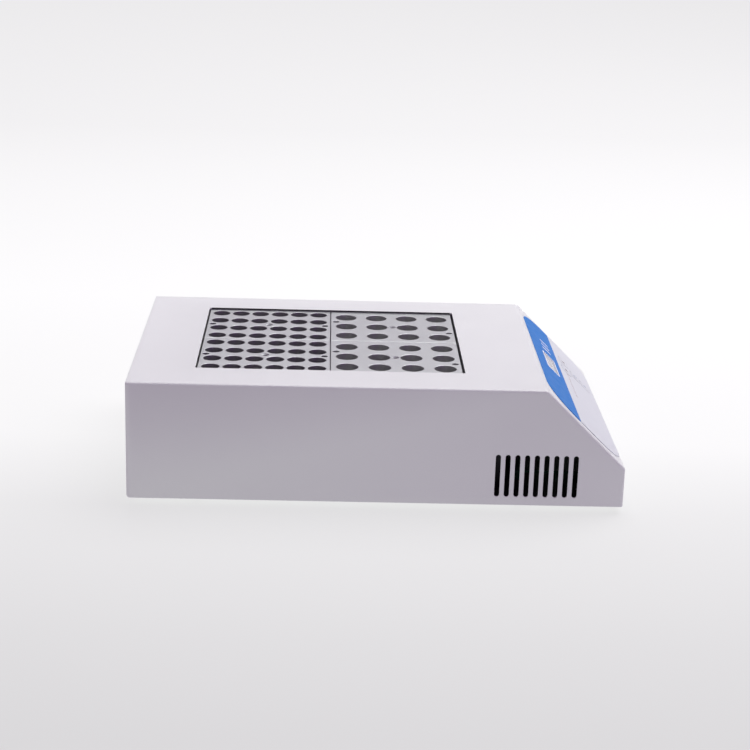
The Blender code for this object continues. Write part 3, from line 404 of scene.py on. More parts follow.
def smooth(obj, angle=40):
    obj.data.shade_smooth()
    obj.data.set_sharp_from_angle(angle=math.radians(angle))
    normals = obj.modifiers.new("flat_faces_stay_flat", "WEIGHTED_NORMAL")
    normals.keep_sharp = True
    return settle(obj)


def placed(obj, body, slot, *nodes):
    """The piece rides on its body and stands for the CAD nodes given, which it hides. The slot is not used."""
    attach(obj, body)
    if nodes:
        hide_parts(*nodes)
    return obj


# Materials. Lengths in them are in metres, from object coordinates.
# A wave texture of scale 1 repeats after about this many metres.
WAVE_PERIOD = 0.314


class Finish:
    """A Principled material that is put together a layer at a time."""

    def __init__(self, name, colour, roughness, metallic=0.0):
        self.material = bpy.data.materials.new(name)
        self.material.use_nodes = True
        self.material.diffuse_color = (*colour, 1.0)
        self.tree = self.material.node_tree
        self.shader = self.tree.nodes["Principled BSDF"]
        self.shader.inputs["Base Color"].default_value = (*colour, 1.0)
        self.shader.inputs["Roughness"].default_value = roughness
        self.shader.inputs["Metallic"].default_value = metallic
        self.colour = colour
        self.roughness = roughness
        self.height = None
        self.coordinates = self.tree.nodes.new("ShaderNodeTexCoord").outputs["Object"]

    def set(self, **values):
        for name, value in values.items():
            self.shader.inputs[name.replace("_", " ")].default_value = value
        return self

    def link(self, start, end):
        self.tree.links.new(start, end)

    def scaled(self, stretch):
        mapping = self.tree.nodes.new("ShaderNodeMapping")
        mapping.inputs["Scale"].default_value = stretch
        self.link(self.coordinates, mapping.inputs["Vector"])
        return mapping.outputs["Vector"]

    def noise(self, size, detail=3.0, stretch=(1, 1, 1)):
        """Noise from 0 to 1 whose blotches are about this many metres across."""
        node = self.tree.nodes.new("ShaderNodeTexNoise")
        node.inputs["Scale"].default_value = 1.0 / size
        node.inputs["Detail"].default_value = detail
        self.link(self.scaled(stretch), node.inputs["Vector"])
        return node.outputs["Fac"]

    def cells(self, size, stretch=(1, 1, 1), feature="F1"):
        node = self.tree.nodes.new("ShaderNodeTexVoronoi")
        node.feature = feature
        node.inputs["Scale"].default_value = 1.0 / size
        self.link(self.scaled(stretch), node.inputs["Vector"])
        return node.outputs["Distance"]

    def bands(self, size, direction="X", kind="BANDS", distortion=0.0, stretch=(1, 1, 1)):
        node = self.tree.nodes.new("ShaderNodeTexWave")
        node.wave_type = kind
        if kind == "BANDS":
            node.bands_direction = direction
        else:
            node.rings_direction = direction
        node.inputs["Scale"].default_value = WAVE_PERIOD / size
        node.inputs["Distortion"].default_value = distortion
        self.link(self.scaled(stretch), node.inputs["Vector"])
        return node.outputs["Fac"]

    def mapped(self, value, low, high, start=0.3, end=0.7):
        node = self.tree.nodes.new("ShaderNodeMapRange")
        node.inputs["From Min"].default_value = start
        node.inputs["From Max"].default_value = end
        node.inputs["To Min"].default_value = low
        node.inputs["To Max"].default_value = high
        self.link(value, node.inputs["Value"])
        return node.outputs["Result"]

    def tint(self, value, colour, amount=1.0, start=0.3, end=0.7):
        """Mixes another colour in where the value is high."""
        mix = self.tree.nodes.new("ShaderNodeMix")
        mix.data_type = "RGBA"
        base = self.shader.inputs["Base Color"]
        if base.is_linked:
            self.link(base.links[0].from_socket, mix.inputs[6])
        else:
            mix.inputs[6].default_value = base.default_value
        mix.inputs[7].default_value = (*colour, 1.0)
        self.link(self.mapped(value, 0.0, amount, start, end), mix.inputs[0])
        self.link(mix.outputs[2], base)
        return self

    def shade(self, value, amount, start=0.3, end=0.7):
        """Darkens the colour, by this share at most, as the value goes from start to end."""
        darker = tuple(c * (1 - amount) for c in self.colour)
        return self.tint(value, darker, 1.0, start, end)

    def gloss(self, value, spread, start=0.3, end=0.7):
        low = self.roughness - spread
        high = self.roughness + spread
        self.link(self.mapped(value, low, high, start, end), self.shader.inputs["Roughness"])
        return self

    def bump(self, value, depth, strength=1.0):
        """Adds relief of this many metres on top of what is there."""
        node = self.tree.nodes.new("ShaderNodeBump")
        node.inputs["Distance"].default_value = depth
        node.inputs["Strength"].default_value = strength
        self.link(value, node.inputs["Height"])
        if self.height is not None:
            self.link(self.height, node.inputs["Normal"])
        self.height = node.outputs["Normal"]
        self.link(self.height, self.shader.inputs["Normal"])
        return self


def powder_coat(name, colour):
    """Baked powder paint: a low orange peel, fine grit, and a little unevenness in its gloss."""
    f = Finish(name, colour, 0.44)
    f.shade(f.noise(0.09, 3), 0.030)
    f.shade(f.noise(0.0011, 2), 0.022, 0.35, 0.75)
    f.gloss(f.noise(0.012, 4), 0.05)
    f.bump(f.noise(0.0022, 2), 0.00002)
    f.bump(f.noise(0.0006, 2), 0.000006)
    f.set(Specular_IOR_Level=0.45)
    return f.material


def milled_aluminium(name, colour, roughness):
    """Face-milled and clear anodised: close tool arcs on the flats, rings down the wells."""
    f = Finish(name, colour, roughness, 0.82)
    f.shade(f.noise(0.035, 4), 0.05)
    f.shade(f.noise(0.0009, 2, (6, 1, 6)), 0.05)
    f.gloss(f.noise(0.004, 4, (5, 1, 5)), 0.07)
    f.bump(f.bands(0.0007, "Y", "RINGS", 0.4, (1, 1, 1)), 0.0000022)
    f.bump(f.noise(0.0005, 3, (8, 1, 8)), 0.000004)
    return f.material


def drawn_aluminium(name, colour):
    f = Finish(name, colour, 0.42, 0.9)
    f.shade(f.noise(0.02, 4), 0.10)
    f.gloss(f.noise(0.003, 4, (1, 12, 12)), 0.10)
    f.bump(f.noise(0.0008, 3, (1, 16, 16)), 0.000006)
    return f.material


def bright_steel(name, colour, roughness=0.3):
    """Zinc-plated steel, with the faint cloudiness of the plating."""
    f = Finish(name, colour, roughness, 1.0)
    f.shade(f.noise(0.006, 4), 0.12)
    f.gloss(f.noise(0.0015, 4), 0.08)
    f.bump(f.noise(0.0007, 3), 0.000004)
    return f.material


def moulded(name, colour, roughness=0.45, grain=0.0004, depth=0.000012):
    """Spark-eroded plastic: a fine even grain."""
    f = Finish(name, colour, roughness)
    f.shade(f.noise(0.010, 3), 0.10)
    f.gloss(f.noise(0.002, 3), 0.06)
    f.bump(f.cells(grain), depth)
    f.bump(f.noise(grain * 2, 3), depth / 2)
    return f.material


def rubber(name, colour):
    f = Finish(name, colour, 0.8)
    f.tint(f.noise(0.004, 5), tuple(c * 1.8 + 0.01 for c in colour), 0.5)
    f.gloss(f.noise(0.0012, 4), 0.08)
    f.bump(f.noise(0.0006, 4), 0.00003)
    return f.material


def film(name, colour, roughness=0.48):
    """Printed polyester: a fine velvet texture, with faint screen-print mottling."""
    f = Finish(name, colour, roughness)
    f.shade(f.noise(0.05, 2), 0.035)
    f.shade(f.cells(0.0006), 0.03, 0.2, 0.6)
    f.gloss(f.noise(0.006, 3), 0.04)
    f.bump(f.cells(0.00028), 0.000005)
    f.bump(f.noise(0.03, 2), 0.00004)
    f.set(Specular_IOR_Level=0.12)
    return f.material


def ink(name, colour, roughness=0.5):
    """Screen ink, with slightly broken cover."""
    f = Finish(name, colour, roughness)
    f.shade(f.noise(0.0008, 3), 0.10)
    f.bump(f.noise(0.0004, 2), 0.000004)
    return f.material


def circuit_board(name, colour):
    """Solder mask over copper: lighter tracks, and a glassy face."""
    f = Finish(name, colour, 0.32)
    tracks = f.cells(0.0042, (1, 1, 1), "DISTANCE_TO_EDGE")
    f.tint(tracks, tuple(c * 2.1 + 0.01 for c in colour), 0.75, 0.10, 0.04)
    f.shade(f.noise(0.02, 2), 0.15)
    f.gloss(f.noise(0.002, 3), 0.05)
    f.bump(f.mapped(tracks, 1.0, 0.0, 0.04, 0.10), 0.00002)
    return f.material


def wool(name, colour):
    """Pressed mineral fibre: tangled threads and loose flecks."""
    f = Finish(name, colour, 0.95)
    f.tint(f.noise(0.0016, 6, (1, 5, 1)), (0.85, 0.80, 0.62), 0.6)
    f.tint(f.noise(0.0013, 6, (5, 1, 1)), (0.36, 0.30, 0.17), 0.6, 0.45, 0.8)
    f.bump(f.noise(0.0012, 6, (1, 6, 1)), 0.0005)
    f.bump(f.noise(0.0010, 6, (6, 1, 3)), 0.0004)
    return f.material


def heater_cloth(name, colour):
    """Silicone rubber over glass cloth, with the weave showing through."""
    f = Finish(name, colour, 0.62)
    f.shade(f.noise(0.02, 3), 0.15)
    f.shade(f.bands(0.0009, "X"), 0.12)
    f.bump(f.bands(0.0009, "X"), 0.00006)
    f.bump(f.bands(0.0009, "Y"), 0.00006)
    return f.material


def ceramic(name, colour):
    f = Finish(name, colour, 0.42)
    f.shade(f.noise(0.003, 5), 0.10)
    f.tint(f.cells(0.0012), (0.45, 0.40, 0.33), 0.5, 0.12, 0.02)
    f.bump(f.noise(0.0009, 4), 0.00002)
    return f.material


def laminations(name, colour):
    """A stack of lacquered iron sheets seen at their edges."""
    f = Finish(name, colour, 0.45, 0.6)
    f.shade(f.bands(0.0005, "Y"), 0.35)
    f.shade(f.noise(0.004, 4), 0.20)
    f.bump(f.bands(0.0005, "Y"), 0.00005)
    return f.material


def sleeve(name, colour, roughness=0.5):
    """Extruded cable cover, drawn lengthwise, with a dull bloom."""
    f = Finish(name, colour, roughness)
    f.tint(f.noise(0.006, 4), tuple(c * 1.6 + 0.012 for c in colour), 0.5)
    f.gloss(f.noise(0.002, 4), 0.08)
    f.bump(f.noise(0.0007, 3), 0.00001)
    return f.material


def clear(name, colour, roughness, alpha):
    """Clear glass or acrylic, with faint rub marks."""
    f = Finish(name, colour, roughness)
    f.shade(f.noise(0.01, 3), 0.04)
    f.gloss(f.noise(0.002, 4), roughness * 0.4)
    f.set(Alpha=alpha, Specular_IOR_Level=0.6)
    return f.material


PAINT = powder_coat("pale_powder_coat", (0.768, 0.797, 0.778))
# Painted shade: a near-black coat on the inside faces of the case, so that the vents and slots look dark.
INSIDE_PAINTED_SHADE = powder_coat("inside_painted_shade", (0.035, 0.035, 0.037))
BLOCK_METAL = milled_aluminium("milled_aluminium", (0.625, 0.660, 0.645), 0.40)
# Painted shade: the bore walls are the block's aluminium darkened, the small rear bores more than the large front
# ones.
SHADED_BORE_METAL = {
    "rear": milled_aluminium("small_bores_painted_shade", (0.41, 0.415, 0.42), 0.46),
    "front": milled_aluminium("large_bores_painted_shade", (0.60, 0.62, 0.60), 0.42),
}
TRAY_METAL = drawn_aluminium("tray_aluminium", (0.74, 0.74, 0.76))
STEEL = bright_steel("zinc_plate", (0.60, 0.61, 0.63))
BLACK = moulded("black_moulding", (0.018, 0.018, 0.020))
BLACK_GLOSS = moulded("black_rocker", (0.022, 0.022, 0.024), 0.28, 0.0006, 0.000006)
RUBBER = rubber("foot_rubber", (0.022, 0.022, 0.022))
BLUE_FILM = film("blue_film", (0.018, 0.195, 0.590))
PALE_FILM = film("pale_film", (0.69, 0.72, 0.745))
WHITE_INK = ink("white_ink", (0.93, 0.95, 1.0))
DARK_INK = ink("dark_ink", (0.16, 0.10, 0.12))
BLUE_INK = ink("grey_blue_ink", (0.30, 0.38, 0.52))
LINE_INK = ink("pale_line_ink", (0.56, 0.58, 0.64))
BROWN_INK = ink("warm_ink", (0.45, 0.36, 0.36))
LENS = clear("window_lens", (0.92, 0.92, 0.95), 0.12, 0.40)
MODULE = moulded("display_face", (0.76, 0.79, 0.76), 0.5)
DIGITS = ink("display_segments", (0.045, 0.035, 0.040), 0.35)
BRASS = bright_steel("nickel_plate", (0.66, 0.62, 0.52), 0.26)
FUSE_GLASS = clear("fuse_glass", (0.80, 0.84, 0.84), 0.05, 0.35)


# The case.


def upright(x=0.0, y=0.0, z=0.0):
    """Turns a flat outline into the YZ plane, with its thickness along X."""
    return at(x, y, z) @ Matrix(((0, 0, 1, 0), (1, 0, 0, 0), (0, 1, 0, 0), (0, 0, 0, 1)))


def folded(bm, is_open):
    """An open sheet with rounded folds, given thickness inwards."""
    bm.normal_update()
    bmesh.ops.delete(bm, geom=[f for f in bm.faces if is_open(f.normal)], context="FACES")
    folds = [e for e in bm.edges if len(e.link_faces) == 2 and e.calc_face_angle(0.0) > math.radians(10)]
    bmesh.ops.bevel(bm, geom=folds, offset=BEND_RADIUS, segments=BEND_STEPS, profile=0.5, affect="EDGES")
    obj = piece("folded", bm)
    sheet = obj.modifiers.new("sheet", "SOLIDIFY")
    sheet.thickness = SHEET
    sheet.offset = -1.0
    sheet.use_even_offset = True
    return settle(obj)


def hole(outline, matrix, through=THROUGH):
    """A cutter of this outline, centred on the plane that the matrix gives."""
    return plate([outline], through, matrix @ at(0, 0, -through / 2))


def rounded_slot(width, length, matrix):
    return hole(rectangle(width, length, width / 2, steps=10), matrix, SLOT_THROUGH)


def nodes_called(start):
    """The CAD nodes whose names start so, in order."""
    return [n for n in sorted(frame["nodes"]) if n.startswith(start)]


def foot_nodes():
    return [n for n in nodes_called("foot_") if not n.startswith("foot_screw")]


def middle_of(node):
    """The middle, the size and the high corner of a CAD node's box."""
    low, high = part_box(node)
    return (low + high) / 2, high - low, high


def on_panel(node):
    """The box of a CAD node in the panel's own frame: x across, y up the slope, z out of it."""
    points = [PANEL.inverted() @ v.co for v in frame["nodes"][node].data.vertices]
    low = Vector([min(p[i] for p in points) for i in range(3)])
    high = Vector([max(p[i] for p in points) for i in range(3)])
    return low, high


def window_seen():
    """The middle and the size of the clear part of the window, in the panel's own frame."""
    left, right, top, foot = WINDOW_SEEN
    return Vector(((left + right) / 2, -(top + foot) / 2, 0.0)), Vector((right - left, foot - top, 0.0))


def paint_outside(obj, centre):
    """Paint outside, and a near-black painted shade on the faces that look in at the middle of the case, so that
    the vents and slots look dark.
    """
    obj.data.materials.clear()
    obj.data.materials.append(PAINT)
    obj.data.materials.append(INSIDE_PAINTED_SHADE)
    bm = bmesh.new()
    bm.from_mesh(obj.data)
    rear = (0.0, Y_REAR - PAINTED_EDGE, 0.0)
    bmesh.ops.bisect_plane(bm, geom=[*bm.verts, *bm.edges, *bm.faces], plane_co=rear, plane_no=(0, 1, 0))
    # Inside faces get the painted shade, all but a strip along the rear edge.
    for face in bm.faces:
        inwards = centre - face.calc_center_median()
        looks_in = inwards.dot(face.normal) > INSIDE_SHADE_DEPTH and max(abs(c) for c in face.normal) > 0.6
        at_edge = face.calc_center_median().y > rear[1]
        face.material_index = 1 if looks_in and not at_edge and face.calc_area() > INSIDE_SHADE_AREA else 0
    bm.to_mesh(obj.data)
    bm.free()


def build_cover():
    corner = (Y_REAR - REAR_CORNER, Z_BASE + REAR_CORNER)
    profile = arc(corner, REAR_CORNER, -90, 0, 8)
    profile += [(Y_REAR, Z_TOP), (Y_BEND, Z_TOP), (Y_FRONT, Z_LOW_BEND), (Y_FRONT, Z_BASE)]
    bm = plate([profile], 2 * X_OUT, upright(-X_OUT))
    obj = folded(bm, lambda normal: normal.z < -0.05 or normal.y > 0.05)
    obj.name = "case_cover"
    lip_z = Z_BASE + SHEET + GAP + SHEET / 2
    lip_length = Y_REAR - Y_FRONT - LIP_SHORTER
    lip_y = Y_REAR - LIP_FROM_REAR - lip_length / 2
    for sign in (-1, 1):
        place = at(sign * (X_OUT - SHEET / 2 - LIP / 2), lip_y, lip_z)
        carve(obj, block((LIP, lip_length, SHEET), place), "UNION")
    front_lip = at(0.0, Y_FRONT + SHEET / 2 + LIP / 2, lip_z)
    carve(obj, block((2 * X_OUT - 2 * LIP, LIP, SHEET), front_lip), "UNION")
    middle, size, high = middle_of("block_tray")
    opening = rectangle(size.x - 2 * OPENING_MARGIN, size.y - 2 * OPENING_MARGIN, OPENING_CORNER, steps=6)
    carve(obj, hole(opening, at(middle.x, middle.y, Z_TOP), SLOT_THROUGH))
    slots = []
    for sign in (-1, 1):
        for i in range(VENTS):
            y = Y_REAR - VENT_FIRST - i * VENT_PITCH
            slots.append(upright(sign * X_OUT, y, Z_BASE + (VENT_LOW + VENT_HIGH) / 2))
    carve(obj, copies(lambda m: rounded_slot(VENT_WIDTH, VENT_HIGH - VENT_LOW, m), slots))
    middle, size = window_seen()
    window = rectangle(size.x + 2 * GAP, size.y + 2 * GAP, WINDOW_CORNER + GAP)
    holes = [hole(window, PANEL @ at(middle.x, middle.y, 0.0))]
    for node in nodes_called("key_"):
        low, high = on_panel(node)
        place = PANEL @ at((low.x + high.x) / 2, (low.y + high.y) / 2, 0.0)
        holes.append(hole(circle(STEM_RADIUS + GAP, HOLE_STEPS), place))
    carve(obj, merged(*holes))
    carve(obj, screw_holes(nodes_called("cover_screw"), Z_BASE + THROUGH / 2))
    soften(obj, left_sharp=[(sign * X_OUT, Y_BEND, Z_TOP) for sign in (-1, 1)])
    paint_outside(obj, Vector((0.0, (Y_REAR + Y_FRONT) / 2, (Z_TOP + Z_BASE) / 2)))
    placed(obj, "housing", "pale_paint", "top_cover")


def screw_holes(nodes, z):
    """Cutters for screws at the middles of these nodes, centred on this height."""
    middles = [middle_of(node)[0] for node in nodes]
    places = [at(middle.x, middle.y, z) for middle in middles]
    return copies(lambda m: hole(circle(SCREW_HOLE_RADIUS, HOLE_STEPS), m), places)


def build_chassis():
    middle, size, high = middle_of("chassis")
    obj = folded(block(size, Matrix.Translation(middle)), lambda normal: normal.z > -0.9 and normal.y < 0.9)
    obj.name = "base_and_rear_wall"
    carve(obj, screw_holes([*nodes_called("cover_screw"), *foot_nodes()], Z_BASE))
    steps = [i - (BASE_SLOTS - 1) / 2 for i in range(BASE_SLOTS)]
    slots = [at(step * BASE_SLOT_PITCH, Y_FRONT + BASE_SLOT_Y, Z_BASE) for step in steps]
    carve(obj, copies(lambda m: rounded_slot(*BASE_SLOT, m), slots))
    for node, (width, height) in (("power_inlet", INLET_BODY), ("switch_housing", SWITCH_BODY)):
        fitting = middle_of(node)[0]
        opening = (width + 2 * GAP, WALL_THROUGH, height + 2 * GAP)
        carve(obj, block(opening, at(fitting.x, high.y, fitting.z)))
    soften(obj)
    paint_outside(obj, middle)
    placed(obj, "housing", "pale_paint", "chassis")


# The blocks.


def well_cutter(radius, depth, steps, matrix):
    """A drilled hole: a straight bore with a cone left by the drill's point."""
    tip = radius * math.tan(DRILL_POINT)
    profile = [(0.0, WELL_OVERCUT), (radius, WELL_OVERCUT), (radius, -depth + tip), (0.0, -depth)]
    return turned(profile, steps, matrix)


def is_outside(face, size):
    """Whether a face belongs to the block's outside rather than to a hole in it."""
    side, foot = SKIN
    x = abs(face.center.x)
    y = abs(face.center.y)
    return face.center.z < -size.z / 2 + foot or x > size.x / 2 - side or y > size.y / 2 - side


def build_blocks():
    rear_holes = [(0.0, y) for y in (-PROBE_HOLE_Y, PROBE_HOLE_Y)]
    front_holes = [(FRONT_PROBE_HOLE_X, PROBE_HOLE_Y), (-FRONT_PROBE_HOLE_X, -PROBE_HOLE_Y)]
    for end, wells, probe_holes in (("rear", REAR_WELLS, rear_holes), ("front", FRONT_WELLS, front_holes)):
        size = middle_of("block_" + end + "_left")[1]
        top = size.z / 2
        obj = piece("tube_block_" + end, block(size), BLOCK_METAL, SHADED_BORE_METAL[end])
        places = []
        for row in range(wells["rows"]):
            for column in range(wells["columns"]):
                x = (row - (wells["rows"] - 1) / 2) * wells["row_pitch"]
                y = (column - (wells["columns"] - 1) / 2) * wells["column_pitch"]
                places.append(at(x, y, top))
        carve(obj, copies(lambda m: well_cutter(wells["radius"], WELL_DEPTH, WELL_STEPS, m), places))
        holes = [at(x, y, top) for x, y in probe_holes]
        cutter = (PROBE_HOLE_RADIUS, PROBE_HOLE_DEPTH, PROBE_HOLE_STEPS)
        carve(obj, copies(lambda m: well_cutter(*cutter, m), holes))
        recess, ledge = LIFT_RECESS
        lift = [(0.0, LIFT_OVERCUT), (recess, LIFT_OVERCUT), (recess, -ledge), (LIFT_HOLE_RADIUS, -ledge)]
        lift += [(LIFT_HOLE_RADIUS, -LIFT_HOLE_DEPTH), (0.0, -LIFT_HOLE_DEPTH)]
        soften(obj, WELL_CHAMFER)
        carve(obj, turned(lift, 32, at(0.0, 0.0, top)))
        smooth(obj)
        # Faces down in the holes take the darkened bore metal, which is painted shade.
        for face in obj.data.polygons:
            if face.center.z < top - BORE_START and not is_outside(face, size):
                face.material_index = 1
        for side in ("left", "right"):
            node = "block_" + end + "_" + side
            copy = bpy.data.objects.new("tube_" + node, obj.data)
            bpy.context.scene.collection.objects.link(copy)
            copy.location = middle_of(node)[0]
            placed(copy, node, "block_aluminium", node)
        bpy.data.objects.remove(obj)


# The panel.


def build_film():
    low, high = on_panel("panel_overlay")
    width = high.x - low.x
    height = high.y - low.y
    middle = (low + high) / 2
    edge = moved(rectangle(width, height, UPPER_RADIUS, LOWER_RADIUS, 20), middle.x, middle.y)
    middle, size = window_seen()
    window = rectangle(size.x + 2 * GAP, size.y + 2 * GAP, WINDOW_CORNER + GAP)
    outlines = [edge, moved(window, middle.x, middle.y)]
    for node in nodes_called("key_"):
        low, high = on_panel(node)
        key = rectangle(high.x - low.x + 2 * KEY_SLIT, high.y - low.y + 2 * KEY_SLIT, KEY_CORNER + KEY_SLIT)
        outlines.append(moved(key, (low.x + high.x) / 2, (low.y + high.y) / 2))
    bm = plate(outlines, FILM_TOP)
    cut = bmesh.ops.bisect_plane(
        bm, geom=[*bm.verts, *bm.edges, *bm.faces], plane_co=(0, -BAND_DOWN, 0), plane_no=(0, 1, 0)
    )
    bmesh.ops.split_edges(bm, edges=[e for e in cut["geom_cut"] if isinstance(e, bmesh.types.BMEdge)])
    for face in bm.faces:
        face.material_index = 0 if face.calc_center_median().y > -BAND_DOWN else 1
    bmesh.ops.remove_doubles(bm, verts=bm.verts, dist=1e-7)
    bmesh.ops.transform(bm, matrix=PANEL, verts=bm.verts)
    obj = piece("panel_film", bm, BLUE_FILM, PALE_FILM)
    soften(obj, FILM_EDGE, angle=60)
    placed(obj, "housing", "film_blue", "panel_overlay")


def crowned(size, matrix):
    """A key cap: a rounded rectangle that swells a little towards its middle."""
    bm = bmesh.new()
    rings = []
    for inset, z in KEY_CROWN:
        corner = max(KEY_CORNER - inset, KEY_INNER_CORNER)
        outline = rectangle(size.x - 2 * inset, size.y - 2 * inset, corner, steps=10)
        rings.append([bm.verts.new((x, y, z)) for x, y in outline])
    for lower, upper in zip(rings, rings[1:]):
        for i in range(len(lower)):
            bm.faces.new((lower[i - 1], lower[i], upper[i], upper[i - 1]))
    bm.faces.new(rings[-1])
    bm.faces.new(list(reversed(rings[0])))
    bmesh.ops.transform(bm, matrix=matrix, verts=bm.verts)
    return bm


def build_keys():
    shapes = {
        "key_up": [UP_ARROW],
        "key_down": [DOWN_ARROW],
        "key_set": [circle(radius, RING_STEPS) for radius in RING],
        "key_start": [POINTER],
    }
    for node in nodes_called("key_"):
        low, high = on_panel(node)
        middle = (low + high) / 2
        size = high - low
        colour = DARK_INK if node in ("key_up", "key_down") else BLUE_INK
        cap = piece("cap_" + node, crowned(size, PANEL @ at(middle.x, middle.y, 0.0)), PALE_FILM)
        stem_length = KEY_UNDERSIDE + PRINT - low.z
        stem_foot = PANEL @ at(middle.x, middle.y, low.z)
        carve(cap, plate([circle(STEM_RADIUS, HOLE_STEPS)], stem_length, stem_foot), "UNION")
        smooth(cap, 30)
        placed(cap, node, "film_pale", node)
        symbol = plate(shapes[node], PRINT, PANEL @ at(middle.x, middle.y, KEY_CROWN[-1][1]))
        placed(piece("symbol_" + node, symbol, colour), node, "film_pale")
        rim = [rectangle(size.x + margin, size.y + margin, KEY_CORNER + margin / 2) for margin in KEY_OUTLINE]
        line = piece("outline_" + node, plate(rim, PRINT, PANEL @ at(middle.x, middle.y, FILM_TOP)), LINE_INK)
        placed(line, "housing", "film_pale")


def segment(name):
    """One bar of a digit, as an outline about the digit's middle."""
    half_w = DIGIT_WIDTH / 2
    half_h = DIGIT_HEIGHT / 2
    across = {"a": half_h, "g": 0.0, "d": -half_h}
    t = DIGIT_STROKE / 2
    if name in across:
        y = across[name]
        e = half_w - DIGIT_GAP
        return [(-e, y), (-e + t, y - t), (e - t, y - t), (e, y), (e - t, y + t), (-e + t, y + t)]
    x = half_w if name in "bc" else -half_w
    low, high = (0.0, half_h) if name in "bf" else (-half_h, 0.0)
    low += DIGIT_GAP
    high -= DIGIT_GAP
    return [(x, low), (x + t, low + t), (x + t, high - t), (x, high), (x - t, high - t), (x - t, low + t)]


def build_display():
    low, high = on_panel("display_window")
    middle, size = window_seen()
    outline = rectangle(size.x, size.y, WINDOW_CORNER)
    lens_foot = PANEL @ at(middle.x, middle.y, high.z - LENS_THICKNESS)
    lens = piece("window_lens", plate([outline], LENS_THICKNESS, lens_foot), LENS)
    soften(lens, LENS_EDGE)
    placed(lens, "housing", "window_lens", "display_window")
    face = PANEL @ at(0, 0, low.z - DIGITS_BELOW)
    shapes = []
    for i, digit in enumerate(READING):
        x = middle.x + (i - (len(READING) - 1) / 2) * DIGIT_PITCH
        for name in SEGMENTS_OF[digit]:
            shapes.append(plate([moved(segment(name), x, middle.y)], DIGIT_THICKNESS, face))
    dot = moved(circle(POINT_RADIUS, 16), middle.x + DIGIT_PITCH / 2, middle.y - DIGIT_HEIGHT / 2)
    shapes.append(plate([dot], DIGIT_THICKNESS, face))
    digits = piece("display_digits", merged(*shapes), DIGITS)
    placed(digits, "housing", "display_grey")


def build_marks():
    """Plain printed marks: a line round the window, heat lines beside it, and a row of ticks under it."""
    middle, size = window_seen()
    rim = [rectangle(size.x + 2 * m, size.y + 2 * m, WINDOW_CORNER + m) for m in WINDOW_RIM]
    border = piece("window_border", plate(rim, PRINT, PANEL @ at(middle.x, middle.y, FILM_TOP)), WHITE_INK)
    placed(border, "housing", "film_blue")
    lines = []
    for i in range(HEAT_LINES):
        wave = [k / HEAT_LINE_STEPS for k in range(HEAT_LINE_STEPS + 1)]
        points = [(HEAT_LINE_SWAY * math.sin(t * math.tau), HEAT_LINE_LENGTH * (t - 0.5)) for t in wave]
        left = [(px - HEAT_LINE_WIDTH / 2, py) for px, py in points]
        right = [(px + HEAT_LINE_WIDTH / 2, py) for px, py in reversed(points)]
        x = HEAT_LINE_X + HEAT_LINE_PITCH * i
        lines.append(plate([left + right], PRINT, PANEL @ at(x, -HEAT_LINE_DOWN, FILM_TOP)))
    heat = piece("heat_lines", merged(*lines), WHITE_INK)
    placed(heat, "housing", "film_blue")
    ticks = []
    for i in range(TICKS):
        x = TICK_X + TICK_PITCH * i
        height = TICK_HEIGHTS[0 if i % TICK_GROUP == 0 else 1]
        ticks.append(plate([rectangle(TICK_WIDTH, height)], PRINT, PANEL @ at(x, -TICK_DOWN, FILM_TOP)))
    row = piece("tick_row", merged(*ticks), BROWN_INK)
    placed(row, "housing", "film_pale")


# Small parts outside.


def build_feet():
    """Turned rubber feet that taper down, with a deep hole underneath for the screw."""
    edge_in, edge_down = FOOT_TOP_EDGE
    round_size, bulge, round_cut = FOOT_ROUND
    mouth, bore, chamfer, bore_depth = FOOT_HOLE
    for node in foot_nodes():
        middle, size, high = middle_of(node)
        top = size.x / 2
        height = high.z
        foot_radius = top - FOOT_TAPER
        profile = [(0.0, height), (top - edge_in, height), (top, height - edge_down)]
        profile += [(foot_radius + bulge, round_size), (foot_radius - round_cut, round_cut)]
        profile += [(foot_radius - round_size, 0.0), (mouth, 0.0), (bore, chamfer), (bore, bore_depth)]
        profile += [(SCREW_HOLE_RADIUS, bore_depth), (SCREW_HOLE_RADIUS, height - FOOT_WEB)]
        profile += [(0.0, height - FOOT_WEB)]
        obj = piece("rubber_" + node, turned(profile, 48, at(middle.x, middle.y, 0.0)), RUBBER)
        smooth(obj, 50)
        placed(obj, "housing", "foot_rubber", node)


def build_screws():
    """Pan-head screws, heads down, with a cross recess and rings for a thread."""
    for node in [n for n in sorted(frame["nodes"]) if "_screw_" in n]:
        middle, size, high = middle_of(node)
        low_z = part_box(node)[0].z
        radius = max(size.x, size.y) / 2
        head_top = low_z + HEAD_HEIGHT["foot" if node.startswith("foot") else "cover"]
        rim_z = head_top - HEAD_RIM
        angles = [k * math.pi / 16 for k in range(1, 8)]
        head = [(0.0, head_top), (radius, head_top), (radius, rim_z)]
        head += [(radius * math.cos(a), rim_z - HEAD_DOME * math.sin(a)) for a in angles]
        head += [(0.0, rim_z - HEAD_DOME)]
        obj = piece("pan_" + node, turned(head, 32, at(middle.x, middle.y, 0.0)), STEEL)
        shank = high.z - head_top + THREAD_OVERLAP
        turns = int(shank / THREAD_PITCH)
        threads = [(0.0, high.z)]
        for k in range(turns):
            z = high.z - k * shank / turns
            threads += [(THREAD_ROOT, z - THREAD_EASE), (THREAD_CREST, z - THREAD_PITCH / 2)]
        threads += [(THREAD_ROOT, high.z - shank), (0.0, high.z - shank)]
        carve(obj, turned(threads, 20, at(middle.x, middle.y, 0.0)), "UNION")
        for turn in (0.0, math.pi / 2):
            arm = at(middle.x, middle.y, low_z) @ Matrix.Rotation(turn + CROSS_TURN, 4, "Z")
            carve(obj, block((radius * CROSS_REACH, *CROSS_ARM), arm))
        smooth(obj, 35)
        placed(obj, "housing", "screw_steel", node)


# The rear fittings.


def rearward(x, y, z):
    """Turns a flat outline to face the rear: its x runs along X, its y up, and its thickness back from y."""
    return at(x, y, z) @ Matrix.Rotation(math.radians(90), 4, "X")


